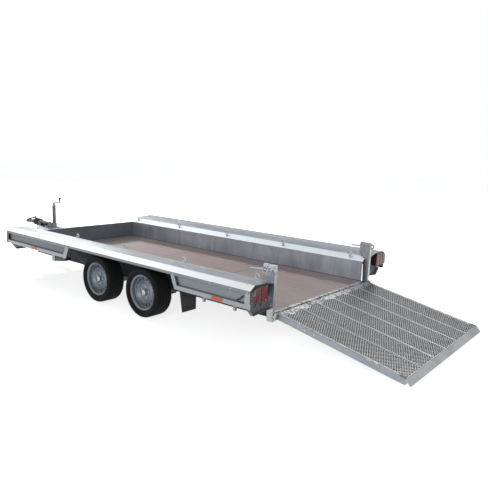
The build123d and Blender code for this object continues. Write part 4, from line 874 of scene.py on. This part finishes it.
def reflector_fittings():
    """Raised faces and screws of the side reflectors."""
    made = Shape("reflector_fittings", slot="amber_lens")
    for s in (-1, 1):
        for mid in (0.318, DECK_LENGTH - 0.678):
            made.use(AMBER)
            back, face = s * (SILL_Y + 0.0055), s * (SILL_Y + 0.0067)
            made.box((mid - 0.056, back, 0.4015), (mid + 0.056, face, 0.4245))
            made.use(CHROME)
            for d in (-0.0595, 0.0595):
                made.dome((mid + d, s * (SILL_Y + 0.0056), 0.413), (0, s, 0), 0.0026, 0.0012, 8)
    made.finish(bevel=0.0008)


lamp_fittings()
reflector_fittings()

# ---- posts, latches and hinges

POST_FACE = 0.919
LATCH_Y, LATCH_Z = POST_FACE + 0.016, 0.672


def post_fittings():
    """Latch springs, pins and bolts of the posts, and welds and pins of the ramp's hinges."""
    made = Shape("post_fittings").use(CHROME)
    for s in SIGNS:
        out, y, z = (0, s, 0), LATCH_Y, LATCH_Z
        turns = []
        for i in range(72):
            a = TURN * i / 12
            x = 0.013 + 0.040 * i / 71
            turns.append((x, s * (y + 0.0125 * math.cos(a)), z + 0.0125 * math.sin(a)))
        made.tube(turns, 0.0022, 6)
        for x in (-0.032, 0.030):
            for dz in (-0.021, 0.021):
                made.bolt((x, s * (POST_FACE + 0.006), z + dz), out, 0.0062)
        collar = mm((29.5, 0), (29.5, 2), (23.5, 3.5), (16.5, 3.5), (14.2, 0))
        made.turned((-0.049, s * (y + 0.0065), z), out, collar, 28, False)
        for bolt_x, bolt_z in ((0.020, 0.50), (-0.018, 0.36), (-0.018, 0.29)):
            made.bolt((bolt_x, s * POST_FACE, bolt_z), out, 0.009)
        pin_y = s * (y + 0.030)
        made.rod((0.006, pin_y, z + 0.004), (0.006, pin_y, z - 0.030), 0.0022, 8)
        made.hoop((0.006, pin_y, z - 0.040), (0, 2), 0.010, 0.0018, 16)
        made.use(ZINC_BRIGHT)
        made.box((0.030, s * (POST_FACE - 0.030), 0.7125), (0.072, s * (POST_FACE + 0.001), 0.7225))
        handle = mm((60, 4, 640), (74, 8, 652), (84, 12, 668), (80, 16, 683))
        made.tube([(px, s * (POST_FACE + d), pz) for px, d, pz in handle], 0.004, 6)
        made.use(WELD)
        weld_y = s * (POST_FACE + 0.0006)
        made.bead((-0.050, weld_y, 0.235), (-0.050, weld_y, 0.285))
        made.bead((0.027, weld_y, 0.575), (0.072, weld_y, 0.594), 0.0028)
        made.use(CHROME)
        made.bolt((HINGE_X, s * (POST_FACE - 0.010), HINGE_Z), out, 0.012)
    for mid in (-LUG_Y, LUG_Y):
        made.use(ZINC_BRIGHT)
        for y in (mid - 0.0075, mid + 0.0075):
            made.rod((HINGE_X, y, HINGE_Z + 0.016), (HINGE_X, y, HINGE_Z + 0.019), 0.003, 8)
        made.use(WELD)
        for y in (mid - 0.009, mid + 0.009):
            made.bead((-0.031, y, 0.247), (-0.031, y, 0.278))
    made.use(ZINC_BRIGHT)
    for k in range(8):
        made.bolt((-0.030, -0.77 + 0.22 * k, 0.222), (-1, 0, 0))
    made.finish()


post_fittings()

# ---- drawbar, coupling and jockey wheel

SHAFT_Z = 0.405
JOCKEY_X, JOCKEY_Y = 5.319, -0.150
GRIP_X, GRIP_Y = 5.191, -0.180
PLUG_X, PLUG_Y, PLUG_Z = 5.357, 0.0757, 0.393


def coupling_fittings():
    """Bolts, clamps, grease nipples, grip sleeves and the plug's cap of the overrun coupling."""
    made = Shape("coupling_fittings", slot="cast_steel").use(CHROME)
    for x, spread in ((5.196, 0.0715), (5.400, 0.055)):
        for y in (-spread, spread):
            made.bolt((x, y, 0.373), (0, 0, 1), 0.0095)
    for x in (5.24, 5.36):
        made.dome((x, 0.0, SHAFT_Z + 0.037), (0, 0, 1), 0.006, 0.009)
    for a in (0.6, 2.2, 3.8, 5.4):
        y, z = 0.041 * math.cos(a) * 0.92, SHAFT_Z + 0.041 * math.sin(a) * 0.92
        made.bolt((5.480, y, z), (1, 0, 0), 0.0045, False)
    made.use(PLASTIC)
    for x in (5.4835, 5.6285):
        made.hoop((x, 0, SHAFT_Z), (1, 2), 0.0465, 0.0028, 28)
    made.use(CHROME)
    for x, z in ((5.665, 0.412), (5.72, 0.405)):
        for s in SIGNS:
            made.bolt((x, s * 0.030, z), (0, s, 0), 0.0085)
    made.use(RUBBER)
    handle = mm((12.8, 0), (15, 4), (15, 92), (13.6, 98))
    lever = mm((11.8, 0), (13.8, 3), (13.8, 78), (12.8, 82))
    made.turned((5.632, 0, 0.4795), (1, 0, -0.245), handle, 18)
    made.turned((5.440, 0.053, 0.4302), (-1, 0, -0.13), lever, 18)
    made.use(CHROME)
    made.dome((5.452, 0.053, 0.4315), (1, 0, 0.13), 0.0045, 0.010)
    made.use(BLUE)
    cap = mm((18.5, 0), (21.5, 1), (21.5, 8), (19, 10), (0, 10.5))
    made.turned((PLUG_X - 0.026, PLUG_Y, PLUG_Z), (-1, 0, 0), cap, 24)
    for k in range(10):
        a = TURN * k / 10
        y, z = PLUG_Y + 0.0188 * math.cos(a), PLUG_Z + 0.0188 * math.sin(a)
        made.rod((PLUG_X - 0.020, y, z), (PLUG_X + 0.024, y, z), 0.0018, 6)
    made.finish(sharp=34)


def jockey_fittings():
    """Collars of the jockey wheel's tube, and its clamp's handle and bolts."""
    made = Shape("jockey_fittings").use(ZINC_BRIGHT)
    x, y = JOCKEY_X, JOCKEY_Y
    upper = mm((30.2, 0), (32.5, 1), (32.5, 10), (30.2, 12))
    lower = mm((30.2, 0.5), (31.8, 1), (31.8, 6), (30.2, 6.5))
    for z, collar in ((0.692, upper), (0.322, lower)):
        made.turned((x, y, z), (0, 0, 1), collar, 28, False)
    made.use(CHROME)
    made.rod((x, y - 0.038, 0.372), (x, y - 0.072, 0.372), 0.0065)
    made.rod((x - 0.052, y - 0.068, 0.364), (x + 0.052, y - 0.068, 0.380), 0.0055)
    for z in (0.345, 0.372):
        made.bolt((x + 0.020, y - 0.0335, z), (0.5, -0.86, 0), 0.007)
    made.use(PLASTIC)
    for d in (-1, 1):
        made.dome((x + d * 0.052, y - 0.068, 0.372 + d * 0.008), (d, 0, 0.15 * d), 0.008, 0.006)
    made.finish(sharp=34)


def crank_arm():
    """A flat forged arm from the spindle's head to the knob's pin."""
    made = Shape("crank_arm").use(ZINC_DULL_AND_SHADE)
    head = mm((13.5, 0), (15, 3), (15, 10), (12.5, 12), (12.5, 46))
    made.turned((JOCKEY_X, JOCKEY_Y, 0.704), (0, 0, 1), head, 24)
    along = Vector((GRIP_X - JOCKEY_X, GRIP_Y - JOCKEY_Y, 0)).normalized()
    across = Vector((-along.y, along.x, 0))
    corners = ((-1, -0.7), (-0.7, -1), (0.7, -1), (1, -0.7), (1, 0.7), (0.7, 1), (-0.7, 1), (-1, 0.7))
    rings = []
    for i in range(11):
        t = i / 10
        spread = 0.0105 + 0.0035 * (2 * abs(t - 0.5)) ** 3
        tall = 0.0145 - 0.0020 * t
        mid = Vector((JOCKEY_X, JOCKEY_Y, 0.733)).lerp(Vector((GRIP_X, GRIP_Y, 0.745)), t)
        if i in (0, 10):
            mid += along * (0.008 if i else -0.008)
        rings.append([at(*(mid + across * spread * a + Vector((0, 0, tall * b)))) for a, b in corners])
    made.skin(rings)
    pin = mm((11.5, 0), (12.5, 2), (12.5, 26), (8.5, 28), (8.5, 34.5))
    made.turned((GRIP_X, GRIP_Y, 0.733), (0, 0, 1), pin, 20)
    made.use(CHROME)
    made.bolt((JOCKEY_X, JOCKEY_Y, 0.750), (0, 0, 1), 0.007)
    made.finish("jockey_crank", sharp=34)


def crank_grip():
    """The crank's knob: a slim rippled waist and a flared top."""
    made = Shape("crank_grip", slot="black_plastic").use(PLASTIC)
    waist = mm((10.5, 0), (13.5, 4), (14, 12), (15, 16), (14.3, 20), (15.6, 28))
    flare = mm((16, 33), (20.5, 46), (26.2, 58), (29.2, 66), (28, 70.5), (18, 73), (0, 73.8))
    made.turned((GRIP_X, GRIP_Y, 0.766), (0, 0, 1), waist + flare, 28)
    made.finish("jockey_grip", sharp=34)


def jockey_wheel_trim():
    """Pressed discs and bolts on both sides of the jockey wheel."""
    made = Shape("jockey_wheel_trim", "jockey_roller", "black_rubber").use(CAST)
    x, z = JOCKEY_X - 0.045, 0.100
    disc = mm((60, 0), (60.5, 1.2), (52, 2.6), (30, 2.2), (26.2, 0))
    for s in (-1, 1):
        made.turned((x, JOCKEY_Y + s * 0.0172, z), (0, s, 0), disc, 36, False)
        for k in range(5):
            a = TURN * k / 5
            point = (x + 0.042 * math.cos(a), JOCKEY_Y + s * 0.0194, z + 0.042 * math.sin(a))
            made.bolt(point, (0, s, 0), 0.005, False)
    made.finish(sharp=34)


coupling_fittings()
jockey_fittings()
crank_arm()
crank_grip()
jockey_wheel_trim()

# ---- underside, mudflaps and chocks

CHOCK_X, CHOCK_Z, CHOCK_FALL, CHOCK_RUN = 2.746, 0.352, 31.0, 205.0


def underside_fittings():
    """Brake rod, equaliser, brake hoses, and plates and bolts of the axles."""
    made = Shape("underside_fittings").use(ZINC_DULL_AND_SHADE)
    made.rod((2.34, 0.0, 0.200), (5.188, 0.0, 0.330), 0.006, 10)
    made.box((2.30, -0.070, 0.192), (2.35, 0.070, 0.208))
    for s in (-1, 1):
        for mid in (1.500, 2.265):
            made.use(ZINC_DULL_AND_SHADE)
            made.box((mid - 0.050, s * 0.672, 0.1305), (mid + 0.050, s * 0.728, 0.1385))
            made.use(CHROME)
            for x in (mid - 0.043, mid + 0.043):
                for y in (0.684, 0.716):
                    made.bolt((x, s * y, 0.1305), (0, 0, -1), 0.0075)
        made.use(RUBBER)
        for end_x, start_y in zip(AXLES.values(), (0.045, 0.060)):
            line = []
            for i in range(17):
                t = i / 16
                x = 2.305 + (end_x + 0.055 - 2.305) * t
                y = start_y + (1.030 - start_y) * t ** 1.3
                line.append((x, s * y, 0.200 + 0.012 * math.sin(3 * math.pi * t) * (1 - t)))
            made.tube(line, 0.005, 6)
    made.finish()


def flap_and_chock_fittings():
    """Bolts and ribs of the mudflaps, and teeth and straps' bolts of the wheel chocks."""
    made = Shape("flap_and_chock_fittings", slot="black_rubber")
    for s in (-1, 1):
        made.use(CHROME)
        for y in (1.060, 1.120, 1.180):
            made.bolt((0.790, s * y, 0.440), (-1, 0, 0), 0.007)
        made.use(RUBBER)
        for z in (0.185, 0.198, 0.211):
            made.box((0.788, s * 1.045, z), (0.7905, s * (1.190 + 0.25 * (z - 0.168)), z + 0.004))
        made.use(PLASTIC)
        for k in range(9):
            x = CHOCK_X + 0.019 + 0.019 * k
            foot = CHOCK_Z - (x - CHOCK_X) * CHOCK_FALL / CHOCK_RUN
            made.box((x, s * 1.154, foot - 0.004), (x + 0.007, s * 1.226, foot + 0.004))
        made.use(CHROME)
        made.bolt((2.98, s * 1.236, 0.350), (0, s, 0), 0.007)
    made.finish()


underside_fittings()
flap_and_chock_fittings()

# ---- stage, light and camera


def seen_directly(tree):
    """1 for rays that come from the camera, or by a reflection or through glass."""
    path = tree.nodes.new("ShaderNodeLightPath")
    result = path.outputs["Is Camera Ray"]
    for kind in ("Is Glossy Ray", "Is Transmission Ray"):
        either = tree.nodes.new("ShaderNodeMath")
        either.operation = "MAXIMUM"
        tree.links.new(result, either.inputs[0])
        tree.links.new(path.outputs[kind], either.inputs[1])
        result = either.outputs[0]
    return result


def studio_floor(size, z):
    """A pale floor that keeps shadows and glows a little where it is seen."""
    g = Graph("studio_floor")
    g.done(g.mix(g.noise(0.4, 3, 0.5), (0.80, 0.80, 0.80), (0.84, 0.84, 0.84)), 0.9)
    glow = g.node("Emission", Strength=0.78)
    add = g.node("AddShader")
    chooser = g.node("MixShader", Fac=seen_directly(g.tree))
    for start, end in (
        (g.bsdf.outputs[0], add.inputs[0]),
        (glow.outputs[0], add.inputs[1]),
        (g.bsdf.outputs[0], chooser.inputs[1]),
        (add.outputs[0], chooser.inputs[2]),
        (chooser.outputs[0], g.tree.nodes["Material Output"].inputs["Surface"]),
    ):
        g.tree.links.new(start, end)
    mesh = bpy.data.meshes.new("studio_floor")
    half = size / 2
    corners = [(x * half, y * half, z) for x, y in ((-1, -1), (1, -1), (1, 1), (-1, 1))]
    mesh.from_pydata(corners, [], [(0, 1, 2, 3)])
    mesh.materials.append(g.mat)
    made = bpy.data.objects.new("studio_floor", mesh)
    scene.collection.objects.link(made)


def studio_world():
    """A faint blue sky for the light, and plain white where it is seen."""
    world = bpy.data.worlds.new("studio_world")
    world.use_nodes = True
    tree = world.node_tree
    sky = tree.nodes["Background"]
    white = tree.nodes.new("ShaderNodeBackground")
    for shader, colour, strength in ((sky, (0.88, 0.94, 1.0, 1), 0.18), (white, (1, 1, 1, 1), 1.0)):
        shader.inputs["Color"].default_value = colour
        shader.inputs["Strength"].default_value = strength
    choose = tree.nodes.new("ShaderNodeMixShader")
    tree.links.new(seen_directly(tree), choose.inputs[0])
    tree.links.new(sky.outputs[0], choose.inputs[1])
    tree.links.new(white.outputs[0], choose.inputs[2])
    tree.links.new(choose.outputs[0], tree.nodes["World Output"].inputs["Surface"])
    scene.world = world


def area_light(name, place, target, size, power, colour):
    data = bpy.data.lights.new(name, "AREA")
    data.shape = "RECTANGLE"
    data.size, data.size_y = size
    data.energy = power
    data.color = colour
    made = bpy.data.objects.new(name, data)
    made.location = place
    made.rotation_euler = (Vector(target) - Vector(place)).to_track_quat("-Z", "Y").to_euler()
    scene.collection.objects.link(made)
    return made


studio_floor(80, -0.001)
studio_world()

# Two lamps at one place: the key lights colours and casts shadows, the sheen gives highlights only.
SUN_PLACE, SUN_TARGET = (14.7, -7.66, 6.15), (-0.6, 0, 0.3)
key = area_light("key", SUN_PLACE, SUN_TARGET, (1.0, 1.0), 5000, (1.0, 0.975, 0.94))
key.visible_glossy = False
sheen = area_light("sheen", SUN_PLACE, SUN_TARGET, (3.0, 3.0), 250, (1.0, 0.98, 0.96))
sheen.visible_diffuse = False
area_light("overhead", (13.6, 0.4, 9.6), (1.0, 0.4, 0.5), (5, 8), 260, (0.96, 0.98, 1.0))
area_light("fill", (-4.0, 5.0, 2.6), (0, 0, 0.3), (4, 3), 85, (0.95, 0.98, 1.0))

# Camera fitted to the photograph: angles in radians, focal length in pixels
YAW, PITCH, ROLL = -0.88068, 0.17301, 0.03711
SENSOR_MM, FOCAL_PIXELS, PICTURE_PIXELS = 36.0, 522.279, 488
camera_data = bpy.data.cameras.new("camera")
camera_data.sensor_fit = "HORIZONTAL"
camera_data.sensor_width = SENSOR_MM
camera_data.lens = FOCAL_PIXELS / PICTURE_PIXELS * SENSOR_MM
camera = bpy.data.objects.new("camera", camera_data)
forward = Vector((math.cos(YAW) * math.cos(PITCH), math.sin(YAW) * math.cos(PITCH), -math.sin(PITCH)))
level = forward.cross(Vector((0, 0, 1))).normalized()
upright = level.cross(forward)
right = math.cos(ROLL) * level + math.sin(ROLL) * upright
top = math.cos(ROLL) * upright - math.sin(ROLL) * level
pose = Matrix((right, top, -forward)).transposed().to_4x4()
pose.translation = at(-2.64769, 4.49605, 1.6719)
camera.matrix_world = pose
scene.collection.objects.link(camera)
scene.camera = camera
scene.view_settings.view_transform = "Standard"
